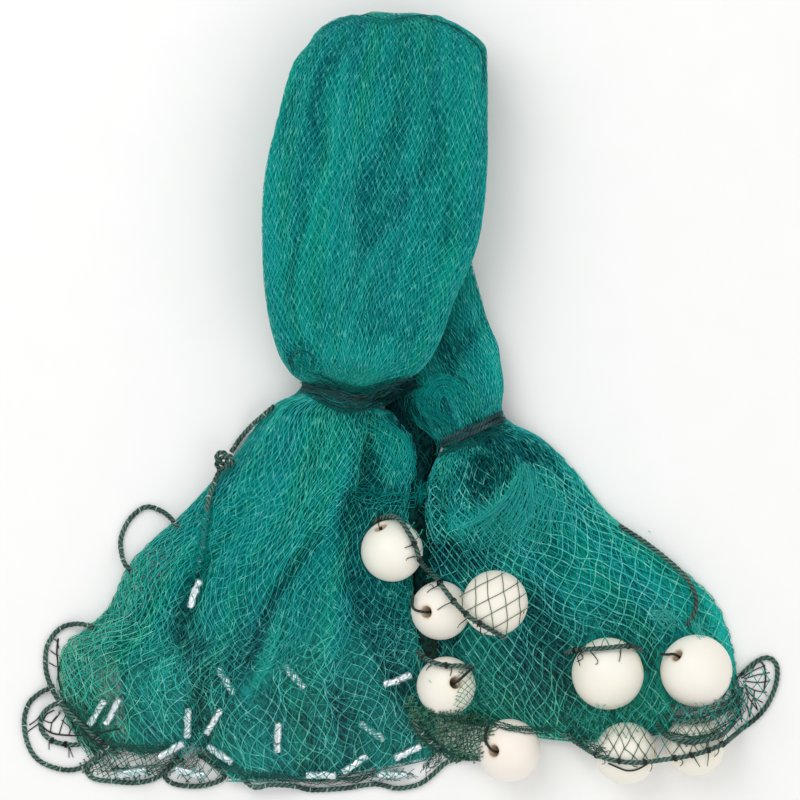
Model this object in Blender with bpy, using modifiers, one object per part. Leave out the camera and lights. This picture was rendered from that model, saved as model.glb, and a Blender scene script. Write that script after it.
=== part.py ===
"""A small seine net of green mesh, gathered into a hank, folded over at the top and tied at two waists.

It lies on the surface z = 0 with its hems towards -Y. Tables are in millimetres, the scene is in metres.
"""

import math
from collections import namedtuple

import bpy
from mathutils import Vector
from mathutils.bvhtree import BVHTree

MM = 0.001

# What moves the tables' origin to the middle of the netting's box
PLACE = (2.5, -3.0, 0.0)

# Netting
POINTS_ACROSS = 20
STEPS_BETWEEN_SECTIONS = 2
SIDE_FULLNESS = 2.6
SIDE_ROUNDING = 0.55
FOLD_Y = 235
FOLD_MIDDLE_Z = 37.5
FOLD_RADIUS = 19.5
FOLD_THICKNESS = 18
FLOAT_CLEARANCE = 2.3

# Floats and sinkers
FLOAT_HOLE = 7.6
FLOAT_HOLE_EDGE = 1.2
FLOAT_STEPS = 14
FLOAT_ARC_STEPS = 7
FLOAT_CORD = 2.0
FLOAT_CORD_END = 0.9
SINKER_LENGTH = 21
SINKER_DIAMETER = 5.6
SINKER_BORE = 2.6
SINKER_STEPS = 10

# Ropes and ties
ROPE = 3.8
TIE = 3.6
TIE_GAP = 2.7
ROPE_POINT_SPACING = 10.0
REST_GAP = 0.9

# One row for each section of the hank, from the hem with the sinkers, over the fold, to the hem with floats.
# left and right: the two side edges. outer and inner: thickness on each side of them. bow: how far the
# middle runs ahead towards the hem. turn: 0 where the outer side faces up, 180 where it faces down.
Section = namedtuple("Section", "left right outer inner bow turn")
LEFT_LIMB = [
    Section((-217, -254, 2), (23, -250, 2), 5, 8, 14, 0),
    Section((-236, -224, 2), (25, -220, 2), 12, 8, 20, 0),
    Section((-243, -195, 2), (22, -192, 2), 17, 8, 26, 0),
    Section((-237, -168, 2), (16, -166, 2), 21, 8, 27, 0),
    Section((-208, -145, 2), (11, -138, 2), 25, 8, 24, 0),
    Section((-187, -111, 2), (9, -103, 2), 28, 8, 21, 0),
    Section((-154, -75, 2), (9, -64, 2), 30, 8, 16, 0),
    Section((-116, -38, 2), (9, -28, 2), 32, 8, 8, 0),
    Section((-87, -3, 5), (-4, -8, 5), 28, 12, 2, 0),
    Section((-71, 7, 20), (-18, -2, 20), 14, 13, 0, 0),
    Section((-69, 15, 21), (-16, 6, 21), 14, 13, 0, 0),
    Section((-77, 22, 34), (12, 22, 46), 22, 14, -2, 0),
    Section((-86, 37, 44), (27, 43, 54), 24, 17, 0, 0),
    Section((-93, 65, 50), (37, 71, 56), 22, 16, 0, 0),
    Section((-98, 107, 56), (54, 112, 57), 19, 17, 0, 0),
    Section((-97, 156, 57), (60, 160, 57), 18, 18, 0, 0),
    Section((-87, 200, 57), (61, 201, 57), 18, 18, 0, 0),
]
RIGHT_LIMB = [
    Section((-78, 205, 18), (58, 207, 18), 24, 18, 0, 180),
    Section((-77, 156, 18), (51, 158, 18), 24, 18, 0, 180),
    Section((-65, 107, 18), (52, 112, 18), 24, 18, 0, 180),
    Section((-40, 61, 18), (61, 70, 18), 24, 17, 0, 180),
    Section((-14, 29, 18), (68, 39, 18), 24, 17, 0, 180),
    Section((9, 1, 18), (72, 14, 18), 24, 20, 0, 180),
    Section((26, -24, 20), (71, -4, 20), 13, 14, 0, 180),
    Section((30, -32, 20), (75, -12, 20), 13, 14, 0, 180),
    Section((22, -46, 6), (94, -24, 6), 12, 26, 2, 180),
    Section((14, -64, 2), (122, -47, 2), 8, 31, 7, 180),
    Section((12, -92, 2), (147, -78, 2), 8, 30, 13, 180),
    Section((13, -122, 2), (186, -110, 2), 8, 27, 20, 180),
    Section((17, -155, 2), (216, -138, 2), 8, 22, 24, 180),
    Section((26, -188, 2), (230, -169, 2), 8, 17, 24, 180),
    Section((34, -208, 2), (238, -199, 2), 8, 12, 21, 180),
    Section((48, -222, 2), (236, -216, 2), 8, 5, 19, 180),
]
# The crown of the fold: each turn about the fold's axis, with the side edges there.
Crown = namedtuple("Crown", "turn left right")
CROWNS = [
    Crown(0, -77, 61),
    Crown(45, -68, 60),
    Crown(90, -58, 55),
    Crown(135, -68, 58),
    Crown(180, -76, 59),
]

# Long soft folds. start and end are rows of the hank's sections. across runs from -1 at the left edge to 1
# at the right edge. height is positive for a ridge and negative for a trough.
Fold = namedtuple("Fold", "start end across_start across_end width height")
UPPER_FOLDS_LEFT = [
    Fold(0.5, 6.6, -0.14, 0.46, 0.10, -8),
    Fold(2.5, 6.8, 0.84, 0.50, 0.12, -7),
    Fold(0.5, 7.5, 0.24, 0.46, 0.16, 6),
    Fold(5.6, 8.0, 0.66, 0.52, 0.17, -14),
    Fold(0.8, 8.5, -0.58, -0.50, 0.08, -5),
    Fold(0.8, 8.5, -0.36, -0.24, 0.11, 5),
    Fold(0.6, 5.0, 0.56, 0.62, 0.08, -4),
    Fold(10.6, 16.5, -0.44, -0.62, 0.10, -4),
    Fold(10.8, 17.5, 0.30, -0.34, 0.11, -5),
    Fold(12.5, 18.5, -0.15, 0.52, 0.13, -5),
    Fold(11.5, 19.0, 0.62, 0.70, 0.20, 3),
    Fold(13.0, 19.5, -0.42, -0.24, 0.10, 3),
]
UPPER_FOLDS_RIGHT = [
    Fold(25.5, 28.2, 0.35, 0.20, 0.24, 5),
    Fold(30.0, 32.6, -0.15, -0.08, 0.24, -11),
    Fold(31.2, 33.4, 0.50, -0.75, 0.18, 6),
    Fold(30.6, 37.0, 0.55, 0.46, 0.16, 5),
    Fold(31.6, 37.5, 0.28, 0.16, 0.10, -5),
    Fold(31.0, 37.5, 0.80, 0.76, 0.10, -4),
    Fold(33.0, 37.5, -0.55, -0.48, 0.12, -4),
]

# Ball floats, each with the direction of its hole.
Float = namedtuple("Float", "x y z diameter hole")
FLOATS = [
    Float(-6, -103, 24.0, 43.4, (-0.39, 0.81, 0.44)),
    Float(28, -145, 20.8, 41.3, (-0.53, -0.03, 0.85)),
    Float(66, -139, 42.5, 45.5, (0.93, -0.30, 0.20)),
    Float(32, -198, 21.0, 41.3, (0.34, 0.17, 0.93)),
    Float(76, -243, 22.2, 44.1, (-0.54, 0.03, 0.84)),
    Float(145, -189, 27.0, 50.4, (0.95, 0.28, 0.12)),
    Float(207, -187, 26.5, 50.4, (-0.60, 0.48, 0.64)),
    Float(158, -245, 21.8, 43.4, (0.98, 0.05, 0.18)),
    Float(206, -240, 21.1, 42.0, (0.96, 0.20, 0.15)),
]

# Lead sleeves, with the angle of each from the X axis in degrees.
Sinker = namedtuple("Sinker", "x y angle")
SINKERS = [
    Sinker(-144, -133, 70),
    Sinker(-213, -217, 58),
    Sinker(-202, -216, 62),
    Sinker(-189, -259, 8),
    Sinker(-161, -243, 30),
    Sinker(-149, -224, 88),
    Sinker(-131, -223, 60),
    Sinker(-127, -246, -35),
    Sinker(-122, -194, -60),
    Sinker(-74, -191, -50),
    Sinker(-86, -234, 86),
    Sinker(-20, -230, -35),
    Sinker(-32, -253, 35),
    Sinker(-56, -261, 0),
    Sinker(-6, -261, 0),
    Sinker(-2, -194, 20),
    Sinker(5, -245, 25),
    Sinker(-148, -259, -12),
]

# The ropes that show, seen from above. Each lies on whatever is under it.
ROPES = {
    "side_line": [(-84, 10), (-93, -4), (-101, -16), (-110, -27), (-117, -34)],
    "side_line_tail": [(-128, -54), (-132, -59), (-134, -66), (-136, -82), (-139, -103), (-142, -119)],
    "lead_loop_a": [(-160, -82), (-170, -75), (-180, -73), (-191, -82), (-197, -96), (-195, -112)],
    "lead_loop_b": [
        (-223, -155), (-240, -158), (-248, -169), (-250, -182), (-248, -194), (-242, -206), (-231, -219),
        (-219, -230), (-208, -240), (-199, -247),
    ],
    "lead_loop_c": [
        (-252, -203), (-261, -211), (-265, -226), (-261, -243), (-252, -253), (-236, -258), (-224, -257),
    ],
    "lead_loop_d": [(-244, -213), (-253, -219), (-253, -229), (-246, -237), (-236, -240), (-226, -240)],
    "lead_line_left": [(-219, -263), (-203, -266), (-186, -267), (-173, -264), (-162, -256), (-154, -248)],
    "lead_loop_e": [(-158, -268), (-138, -269), (-124, -263), (-131, -255), (-142, -247)],
    "lead_line_right": [
        (-111, -264), (-102, -270), (-91, -268), (-75, -269), (-63, -272), (-40, -271), (-18, -268),
        (-2, -271), (13, -268), (23, -261), (32, -253), (42, -250), (55, -250),
    ],
    "lead_line_tail": [(28, -243), (22, -238), (14, -231), (10, -223), (8, -213)],
    "float_line_a": [
        (-19, -83), (-10, -79), (-4, -79), (1, -83), (5, -89), (9, -96), (12, -104), (15, -112),
        (24, -121), (31, -130), (39, -140), (49, -149), (61, -156), (73, -163),
    ],
    "float_line_b": [(12, -174), (16, -178), (21, -180), (28, -182), (36, -183), (44, -183), (51, -185)],
    "float_line_c": [(116, -175), (123, -172), (132, -171), (144, -170), (154, -169), (162, -169), (169, -173)],
    "shoulder_line": [(157, -83), (171, -94), (190, -109), (204, -124), (211, -140), (214, -152)],
    "float_hem": [
        (114, -231), (125, -239), (139, -246), (161, -250), (187, -248), (210, -243), (230, -235),
        (246, -225), (257, -214), (264, -199), (265, -185), (259, -179), (250, -182), (241, -190),
    ],
    "inner_line_1": [(179, -224), (183, -230), (190, -234), (202, -236), (215, -234), (227, -230), (235, -224)],
    "inner_line_2": [(187, -220), (195, -222), (208, -222), (221, -219), (232, -214), (238, -208), (240, -200)],
}
ROPES_OVER_FLOATS = [
    "float_line_a", "float_line_b", "float_line_c", "float_hem", "inner_line_1", "inner_line_2",
]

# The thin cord of each float goes on from its hole along these points, given from the float's middle.
CORD_TAILS = {
    2: [(-19, 2, 14), (-19, 11, 9)],
    4: [(12, 8, 19), (18, 13, 11)],
    5: [(-17, 9, 15), (-15, 17, 7)],
    7: [(-20.5, 12, 14), (-25.5, 12, 10)],
}

# The overhand knot in the side line
KNOT_MIDDLE = (-124, -43)
KNOT_RADIUS = 4.1
KNOT_DEPTH = 2.1
KNOT_ROPE = 3.4
KNOT_POINTS = 30

# The two turns of each tie, at these rows of the hank.
TIE_TURNS = {
    "tie_left_1": 9.3,
    "tie_left_2": 9.84,
    "tie_right_1": 28.2,
    "tie_right_2": 28.8,
}


def material(name, color, roughness, metallic=0.0):
    made = bpy.data.materials.new(name)
    made.diffuse_color = color
    made.use_nodes = True
    shader = made.node_tree.nodes["Principled BSDF"]
    shader.inputs["Base Color"].default_value = color
    shader.inputs["Roughness"].default_value = roughness
    shader.inputs["Metallic"].default_value = metallic
    return made


def mesh_object(name, points, faces, collection, surface=None):
    mesh = bpy.data.meshes.new(name)
    mesh.from_pydata([Vector(p) * MM for p in points], [], faces)
    mesh.validate()
    made = bpy.data.objects.new(name, mesh)
    collection.objects.link(made)
    if surface:
        mesh.materials.append(surface)
    return made


def sections_in_order():
    """Every section of the hank in order, with those of the fold worked out around its axis."""
    crown_sections = []
    for crown in CROWNS:
        angle = math.radians(crown.turn)
        y = FOLD_Y + FOLD_RADIUS * math.sin(angle)
        z = FOLD_MIDDLE_Z + FOLD_RADIUS * math.cos(angle)
        left = (crown.left, y, z)
        right = (crown.right, y, z)
        crown_sections.append(Section(left, right, FOLD_THICKNESS, FOLD_THICKNESS, 0, crown.turn))
    return LEFT_LIMB + crown_sections + RIGHT_LIMB


SECTIONS = sections_in_order()
FOLD_ROW = len(LEFT_LIMB) + len(CROWNS) // 2


def smooth_between(values, place):
    """The value at a fractional place in a list, along a smooth curve through all of them."""
    last = len(values) - 1
    first = min(int(place), last - 1)
    t = place - first
    before = values[max(first - 1, 0)]
    start = values[first]
    end = values[first + 1]
    after = values[min(first + 2, last)]
    into = (end - before) / 2
    out_of = (after - start) / 2
    return (
        start * (2 * t**3 - 3 * t**2 + 1)
        + into * (t**3 - 2 * t**2 + t)
        + end * (3 * t**2 - 2 * t**3)
        + out_of * (t**3 - t**2)
    )


def fold_height(folds, row, across):
    height = 0
    for fold in folds:
        if fold.start < row < fold.end:
            share = (row - fold.start) / (fold.end - fold.start)
            middle = fold.across_start + (fold.across_end - fold.across_start) * share
            fade = math.sqrt(math.sin(math.pi * share))
            height += fold.height * fade * math.exp(-(((across - middle) / fold.width) ** 2))
    return height


def hank_point(row, across, side):
    """A point of the netting's surface. side is 1 on the outer side and -1 on the inner one."""
    left = smooth_between([Vector(section.left) for section in SECTIONS], row)
    right = smooth_between([Vector(section.right) for section in SECTIONS], row)
    bow = smooth_between([section.bow for section in SECTIONS], row)
    angle = math.radians(smooth_between([section.turn for section in SECTIONS], row))
    if side > 0:
        thickness = smooth_between([section.outer for section in SECTIONS], row)
        folds = UPPER_FOLDS_LEFT if row < FOLD_ROW else []
    else:
        thickness = smooth_between([section.inner for section in SECTIONS], row)
        folds = UPPER_FOLDS_RIGHT if row > FOLD_ROW else []
    line = right - left
    ahead = Vector((line.y, -line.x, 0)).normalized()
    outwards = Vector((0, math.sin(angle), math.cos(angle))) * side
    fullness = (1 - abs(across) ** SIDE_FULLNESS) ** SIDE_ROUNDING
    rise = thickness + fold_height(folds, row, across) * (1 - across**4)
    point = left.lerp(right, (across + 1) / 2) + ahead * bow * (1 - across**2) + outwards * rise * fullness
    point.z = max(point.z, 0)
    return point


def hank_ring(row):
    """The points round one section, along the outer side and back along the inner one."""
    steps = [2 * k / POINTS_ACROSS - 1 for k in range(POINTS_ACROSS + 1)]
    places = [0.6 * t + 0.4 * math.sin(t * math.pi / 2) for t in steps]
    outer = [hank_point(row, place, 1) for place in places]
    inner = [hank_point(row, place, -1) for place in places[-2:0:-1]]
    return outer + inner


def end_cap(ring, reverse):
    """Faces across a ring, from each point of the outer side to the one under it."""
    count = len(ring)
    faces = [(ring[0], ring[1], ring[count - 1])]
    for k in range(1, POINTS_ACROSS - 1):
        faces.append((ring[k], ring[k + 1], ring[count - k - 1], ring[count - k]))
    faces.append((ring[POINTS_ACROSS - 1], ring[POINTS_ACROSS], ring[POINTS_ACROSS + 1]))
    return [face[::-1] for face in faces] if reverse else faces


def make_netting(collection, surface):
    row_count = (len(SECTIONS) - 1) * STEPS_BETWEEN_SECTIONS + 1
    points = []
    for k in range(row_count):
        points += hank_ring(k / STEPS_BETWEEN_SECTIONS)
    around = 2 * POINTS_ACROSS
    faces = []
    for k in range(row_count - 1):
        for j in range(around):
            here = k * around + j
            beside = k * around + (j + 1) % around
            faces.append((here, beside, beside + around, here + around))
    faces += end_cap(range(around), True)
    faces += end_cap(range((row_count - 1) * around, row_count * around), False)
    return mesh_object("netting", points, faces, collection, surface)


def cut_pockets(netting, cutters):
    """The netting lies round each float and clear of it."""
    for number, ball in enumerate(FLOATS, 1):
        bpy.ops.mesh.primitive_uv_sphere_add(
            segments=16,
            ring_count=10,
            radius=(ball.diameter / 2 + FLOAT_CLEARANCE) * MM,
            location=Vector((ball.x, ball.y, ball.z)) * MM,
        )
        cutter = bpy.context.object
        cutter.name = f"pocket_{number}"
        cutter.hide_render = True
        cutter.display_type = "WIRE"
        for holder in list(cutter.users_collection):
            holder.objects.unlink(cutter)
        cutters.objects.link(cutter)
        cut = netting.modifiers.new(f"pocket {number}", "BOOLEAN")
        cut.operation = "DIFFERENCE"
        cut.solver = "EXACT"
        cut.object = cutter


def turned_object(name, profile, steps, collection, surface):
    """A closed profile at +X turned about the Z axis."""
    count = len(profile)
    mesh = bpy.data.meshes.new(name)
    points = [(x * MM, 0, z * MM) for x, z in profile]
    mesh.from_pydata(points, [(k, (k + 1) % count) for k in range(count)], [])
    made = bpy.data.objects.new(name, mesh)
    collection.objects.link(made)
    turn = made.modifiers.new("turn", "SCREW")
    turn.axis = "Z"
    turn.steps = steps
    turn.render_steps = steps
    turn.use_merge_vertices = True
    turn.merge_threshold = 0.00001
    mesh.materials.append(surface)
    return made


def along(direction):
    """The rotation that turns +Z to a direction."""
    return Vector(direction).to_track_quat("Z", "Y")


def make_float(number, ball, collection, surface):
    radius = ball.diameter / 2
    hole = FLOAT_HOLE / 2
    top = math.acos((hole + FLOAT_HOLE_EDGE) / radius)
    profile = []
    for k in range(FLOAT_ARC_STEPS + 1):
        angle = top * (1 - 2 * k / FLOAT_ARC_STEPS)
        profile.append((radius * math.cos(angle), radius * math.sin(angle)))
    mouth = radius * math.sin(top) - FLOAT_HOLE_EDGE
    profile += [(hole, -mouth), (hole, mouth)]
    made = turned_object(f"float_{number}", profile, FLOAT_STEPS, collection, surface)
    made.location = Vector((ball.x, ball.y, ball.z)) * MM
    made.rotation_mode = "QUATERNION"
    made.rotation_quaternion = along(ball.hole)
    return made


def tube(name, points, diameter, collection, surface, closed=False):
    curve = bpy.data.curves.new(name, "CURVE")
    curve.dimensions = "3D"
    curve.bevel_depth = diameter / 2 * MM
    curve.bevel_resolution = 2
    curve.use_fill_caps = not closed
    spline = curve.splines.new("POLY")
    spline.points.add(len(points) - 1)
    for target, point in zip(spline.points, points):
        target.co = (point[0] * MM, point[1] * MM, point[2] * MM, 1)
    spline.use_cyclic_u = closed
    curve.materials.append(surface)
    made = bpy.data.objects.new(name, curve)
    collection.objects.link(made)
    return made


def evenly_spaced(points, spacing):
    """Points at even distances along a smooth curve through the route's points."""
    fine_steps = 12
    vectors = [Vector(point) for point in points]
    fine = [smooth_between(vectors, k / fine_steps) for k in range((len(vectors) - 1) * fine_steps + 1)]
    lengths = [0.0]
    for before, after in zip(fine, fine[1:]):
        lengths.append(lengths[-1] + (after - before).length)
    count = max(2, round(lengths[-1] / spacing))
    spaced = []
    for k in range(count + 1):
        wanted = lengths[-1] * k / count
        place = max(j for j, length in enumerate(lengths) if length <= wanted + 1e-6)
        place = min(place, len(fine) - 2)
        share = (wanted - lengths[place]) / (lengths[place + 1] - lengths[place])
        spaced.append(fine[place].lerp(fine[place + 1], min(share, 1.0)))
    return spaced


def world_tree(made, graph):
    """A search tree of the object's finished shape, where it lies."""
    evaluated = made.evaluated_get(graph)
    mesh = evaluated.to_mesh()
    mesh.calc_loop_triangles()
    points = [made.matrix_world @ vertex.co for vertex in mesh.vertices]
    faces = [tuple(face.vertices) for face in mesh.loop_triangles]
    evaluated.to_mesh_clear()
    return BVHTree.FromPolygons(points, faces)


def height_under(x, y, reach, supports):
    """The highest point of the supports within reach of a place, or the surface at 0."""
    highest = 0
    offsets = [(0, 0)] + [(math.cos(k * math.pi / 4), math.sin(k * math.pi / 4)) for k in range(8)]
    for across, ahead in offsets:
        start = Vector((x + reach * across, y + reach * ahead, 150)) * MM
        for support in supports:
            hit = support.ray_cast(start, Vector((0, 0, -1)))[0]
            if hit:
                highest = max(highest, hit.z / MM)
    return highest


def rope_line(route, supports):
    """The middle line of a rope that lies on what is under it."""
    flat = evenly_spaced(route, ROPE_POINT_SPACING)
    rest = [height_under(p.x, p.y, ROPE * 0.6, supports) for p in flat]
    lifted = []
    for k in range(len(flat)):
        near = rest[max(k - 1, 0) : k + 2]
        gap = REST_GAP if max(near) > 0 else 0.05
        lifted.append(Vector((flat[k].x, flat[k].y, max(near) + ROPE / 2 + gap)))
    return lifted


def make_sinker(number, sinker, supports, collection, surface):
    half = SINKER_LENGTH / 2
    outer = SINKER_DIAMETER / 2
    bore = SINKER_BORE / 2
    profile = [(outer, half), (outer, -half), (bore, -half), (bore, half)]
    made = turned_object(f"sinker_{number:02d}", profile, SINKER_STEPS, collection, surface)
    angle = math.radians(sinker.angle)
    line = Vector((math.cos(angle), math.sin(angle)))
    places = [k / 3 - 1 for k in range(7)]
    rest = [
        height_under(sinker.x + line.x * half * place, sinker.y + line.y * half * place, outer, supports)
        for place in places
    ]
    slope = max(-0.35, min(0.35, (rest[-1] - rest[0]) / SINKER_LENGTH))
    lift = max(height - slope * half * place for height, place in zip(rest, places))
    made.location = Vector((sinker.x, sinker.y, lift + (outer + REST_GAP) * math.hypot(1, slope))) * MM
    made.rotation_mode = "QUATERNION"
    made.rotation_quaternion = along((line.x, line.y, slope))
    return made


def make_float_cord(number, ball, collection, surface):
    """The thin cord through a float's hole, with its tail where that shows."""
    middle = Vector((ball.x, ball.y, ball.z))
    hole = Vector(ball.hole).normalized()
    end = ball.diameter / 2 + FLOAT_CORD_END
    points = [middle - hole * end, middle, middle + hole * end]
    for tail in CORD_TAILS.get(number, []):
        points.append(middle + Vector(tail))
    return tube(f"float_cord_{number}", points, FLOAT_CORD, collection, surface)


def make_knot(supports, collection, surface):
    """An overhand knot pulled tight: three lobes of rope that pass over and under each other."""
    reach = KNOT_RADIUS + KNOT_DEPTH + KNOT_ROPE / 2
    rest = height_under(KNOT_MIDDLE[0], KNOT_MIDDLE[1], reach, supports)
    height = rest + KNOT_DEPTH + KNOT_ROPE / 2 + REST_GAP
    points = []
    for k in range(KNOT_POINTS):
        t = 2 * math.pi * k / KNOT_POINTS
        radius = KNOT_RADIUS + KNOT_DEPTH * math.cos(3 * t)
        x = KNOT_MIDDLE[0] + radius * math.cos(2 * t)
        y = KNOT_MIDDLE[1] + radius * math.sin(2 * t)
        points.append((x, y, height + KNOT_DEPTH * math.sin(3 * t)))
    return tube("side_knot", points, KNOT_ROPE, collection, surface, closed=True)


def make_tie(name, row, collection, surface):
    """One turn of cord round a waist, just clear of the netting."""
    ring = hank_ring(row)
    axis = sum(hank_ring(int(row) + 1), Vector()) - sum(hank_ring(int(row)), Vector())
    offset = TIE / 2 + TIE_GAP
    points = []
    for k in range(0, len(ring), 2):
        line = ring[(k + 1) % len(ring)] - ring[k - 1]
        points.append(ring[k] + line.cross(axis).normalized() * offset)
    return tube(name, points, TIE, collection, surface, closed=True)


def main():
    for old in list(bpy.data.objects):
        bpy.data.objects.remove(old)
    net = bpy.data.collections.new("fishing net")
    cutters = bpy.data.collections.new("cutters")
    cutters.hide_render = True
    bpy.context.scene.collection.children.link(net)
    bpy.context.scene.collection.children.link(cutters)

    mesh_green = material("net_green", (0.0, 0.22, 0.17, 1), 0.55)
    float_ivory = material("float_ivory", (0.86, 0.80, 0.70, 1), 0.6)
    lead_silver = material("lead_silver", (0.72, 0.74, 0.75, 1), 0.35, 0.9)
    rope_green = material("rope_green", (0.012, 0.04, 0.035, 1), 0.7)
    tie_slate = material("tie_slate", (0.03, 0.045, 0.05, 1), 0.7)
    cord_black = material("cord_black", (0.008, 0.012, 0.012, 1), 0.6)

    netting = make_netting(net, mesh_green)
    cut_pockets(netting, cutters)
    floats = []
    for number, ball in enumerate(FLOATS, 1):
        floats.append(make_float(number, ball, net, float_ivory))
        make_float_cord(number, ball, net, cord_black)
    for name, row in TIE_TURNS.items():
        make_tie(name, row, net, tie_slate)

    bpy.context.view_layer.update()
    graph = bpy.context.evaluated_depsgraph_get()
    on_netting = [world_tree(netting, graph)]
    on_floats = on_netting + [world_tree(ball, graph) for ball in floats]
    for number, sinker in enumerate(SINKERS, 1):
        make_sinker(number, sinker, on_netting, net, lead_silver)
    for name, route in ROPES.items():
        supports = on_floats if name in ROPES_OVER_FLOATS else on_netting
        tube(name, rope_line(route, supports), ROPE, net, rope_green)
    make_knot(on_netting, net, rope_green)

    place = bpy.data.objects.new("place", None)
    place.location = Vector(PLACE) * MM
    net.objects.link(place)
    for made in list(net.objects) + list(cutters.objects):
        if made is not place:
            made.parent = place


main()
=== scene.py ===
import math
from collections import namedtuple

import bpy
import numpy as np
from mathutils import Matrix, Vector


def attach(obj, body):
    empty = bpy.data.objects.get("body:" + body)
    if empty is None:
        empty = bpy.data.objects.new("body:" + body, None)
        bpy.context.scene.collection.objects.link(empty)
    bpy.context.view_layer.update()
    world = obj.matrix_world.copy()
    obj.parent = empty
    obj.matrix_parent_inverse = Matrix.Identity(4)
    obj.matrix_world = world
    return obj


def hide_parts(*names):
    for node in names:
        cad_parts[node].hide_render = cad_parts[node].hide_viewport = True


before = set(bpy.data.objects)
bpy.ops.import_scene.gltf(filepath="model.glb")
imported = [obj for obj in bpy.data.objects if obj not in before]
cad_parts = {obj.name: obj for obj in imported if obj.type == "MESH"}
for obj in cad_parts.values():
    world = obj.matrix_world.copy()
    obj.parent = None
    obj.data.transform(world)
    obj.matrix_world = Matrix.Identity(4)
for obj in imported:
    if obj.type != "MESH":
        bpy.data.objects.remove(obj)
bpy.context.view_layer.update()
mm = 0.001
place = np.array((2.5, -3.0, 0.0))  # from the tables' origin to the frame's, in mm


# A Value is a number that changes over a surface, so sums and products of it add Math nodes.
class Value:
    def __init__(self, finish, socket):
        self.finish = finish
        self.socket = socket

    def maths(self, operation, *others):
        made = self.finish.node("ShaderNodeMath", {"operation": operation}, dict(enumerate((self, *others))))
        return Value(self.finish, made.outputs[0])

    def __add__(self, other):
        return self.maths("ADD", other)

    def __mul__(self, other):
        return self.maths("MULTIPLY", other)

    def __sub__(self, other):
        return self.maths("SUBTRACT", other)

    def __rsub__(self, other):
        return (self * -1) + other

    __radd__ = __add__
    __rmul__ = __mul__

    def fraction(self):
        return self.maths("FRACT")

    def size(self):
        return self.maths("ABSOLUTE")

    def most(self, other):
        return self.maths("MAXIMUM", other)

    def rising(self, low, high):
        settings = {"interpolation_type": "SMOOTHSTEP"}
        made = self.finish.node("ShaderNodeMapRange", settings, {0: self, 1: low, 2: high, 3: 0.0, 4: 1.0})
        return Value(self.finish, made.outputs[0])


class Finish:
    def __init__(self, name, **constants):
        self.material = bpy.data.materials.new(name)
        self.material.use_nodes = True
        self.tree = self.material.node_tree
        self.surface = self.tree.nodes["Principled BSDF"]
        self.paint(**constants)

    def paint(self, **sockets):
        for key, value in sockets.items():
            self.feed(self.surface.inputs[key.replace("_", " ")], value)
        return self.material

    def feed(self, socket, value):
        value = value.socket if isinstance(value, Value) else value
        if isinstance(value, bpy.types.NodeSocket):
            self.tree.links.new(value, socket)
        else:
            socket.default_value = value

    def node(self, kind, settings, sockets):
        made = self.tree.nodes.new(kind)
        for key, value in settings.items():
            setattr(made, key, value)
        for key, value in sockets.items():
            self.feed(made.inputs[key], value)
        return made

    def inObject(self):
        return self.node("ShaderNodeTexCoord", {}, {}).outputs["Object"]

    def onMap(self):
        return self.node("ShaderNodeUVMap", {"uv_map": "OFBake"}, {}).outputs["UV"]

    def attribute(self, name):
        return Value(self, self.node("ShaderNodeAttribute", {"attribute_name": name}, {}).outputs["Fac"])

    def parts(self, vector):
        made = self.node("ShaderNodeSeparateXYZ", {}, {0: vector})
        return [Value(self, output) for output in made.outputs]

    def noise(self, scale, detail, vector=None):
        vector = self.inObject() if vector is None else vector
        made = self.node("ShaderNodeTexNoise", {}, {"Scale": scale, "Detail": detail, "Vector": vector})
        return Value(self, made.outputs["Fac"])

    # noise with a scale of its own in each direction
    def streaks(self, vector, scales, detail):
        made = self.node("ShaderNodeVectorMath", {"operation": "MULTIPLY"}, {0: vector, 1: scales})
        return self.noise(1.0, detail, made.outputs[0])

    def mix(self, factor, first, second, blend="MIX"):
        kind = {"data_type": "RGBA", "blend_type": blend}
        made = self.node("ShaderNodeMix", kind, {0: factor, 6: first, 7: second})
        return made.outputs[2]

    def bump(self, height, strength, distance):
        sockets = {"Strength": strength, "Distance": distance, "Height": height}
        self.paint(Normal=self.node("ShaderNodeBump", {}, sockets).outputs[0])


# a colour as seen on a screen, 0 to 255, turned into the light that shaders use
def tone(red, green, blue):
    parts = [part / 255 for part in (red, green, blue)]
    linear = [part / 12.92 if part < 0.04045 else ((part + 0.055) / 1.055) ** 2.4 for part in parts]
    return (*linear, 1.0)


# a table's rows, each with its columns by name
def table(row, rows):
    return [row(*values) for values in rows]


# values of a list at places between its entries, on a smooth curve through them
def smoothAt(values, places):
    values = np.asarray(values, float)
    last = len(values) - 1
    first = np.clip(np.asarray(places).astype(int), 0, last - 1)
    t = places - first
    if values.ndim > 1:
        t = t[:, None]
    before = values[np.maximum(first - 1, 0)]
    start = values[first]
    end = values[first + 1]
    after = values[np.minimum(first + 2, last)]
    into = (end - before) / 2
    outOf = (after - start) / 2
    return (
        start * (2 * t**3 - 3 * t**2 + 1)
        + into * (t**3 - 2 * t**2 + t)
        + end * (3 * t**2 - 2 * t**3)
        + outOf * (t**3 - t**2)
    )


# what a grid holds at places between its points; past its end it starts again
def between(grid, x, y, eased=False):
    wide, long = grid.shape[:2]
    left = np.floor(x).astype(int)
    low = np.floor(y).astype(int)
    across = x - left
    ahead = y - low
    if eased:
        across = across * across * (3 - 2 * across)
        ahead = ahead * ahead * (3 - 2 * ahead)
    if grid.ndim > 2:
        across = across[..., None]
        ahead = ahead[..., None]
    near, far = [
        grid[left % wide, row % long] * (1 - across) + grid[(left + 1) % wide, row % long] * across
        for row in (low, low + 1)
    ]
    return near * (1 - ahead) + far * ahead


# smooth noise from 0 to 1 for places x across and y along, and the same from -0.5 to 0.5
def unevenness(x, y, seed):
    return between(np.random.default_rng(seed).random((64, 64)), x, y, True)


def drift(x, y, seed):
    return unevenness(x, y, seed) - 0.5


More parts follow.
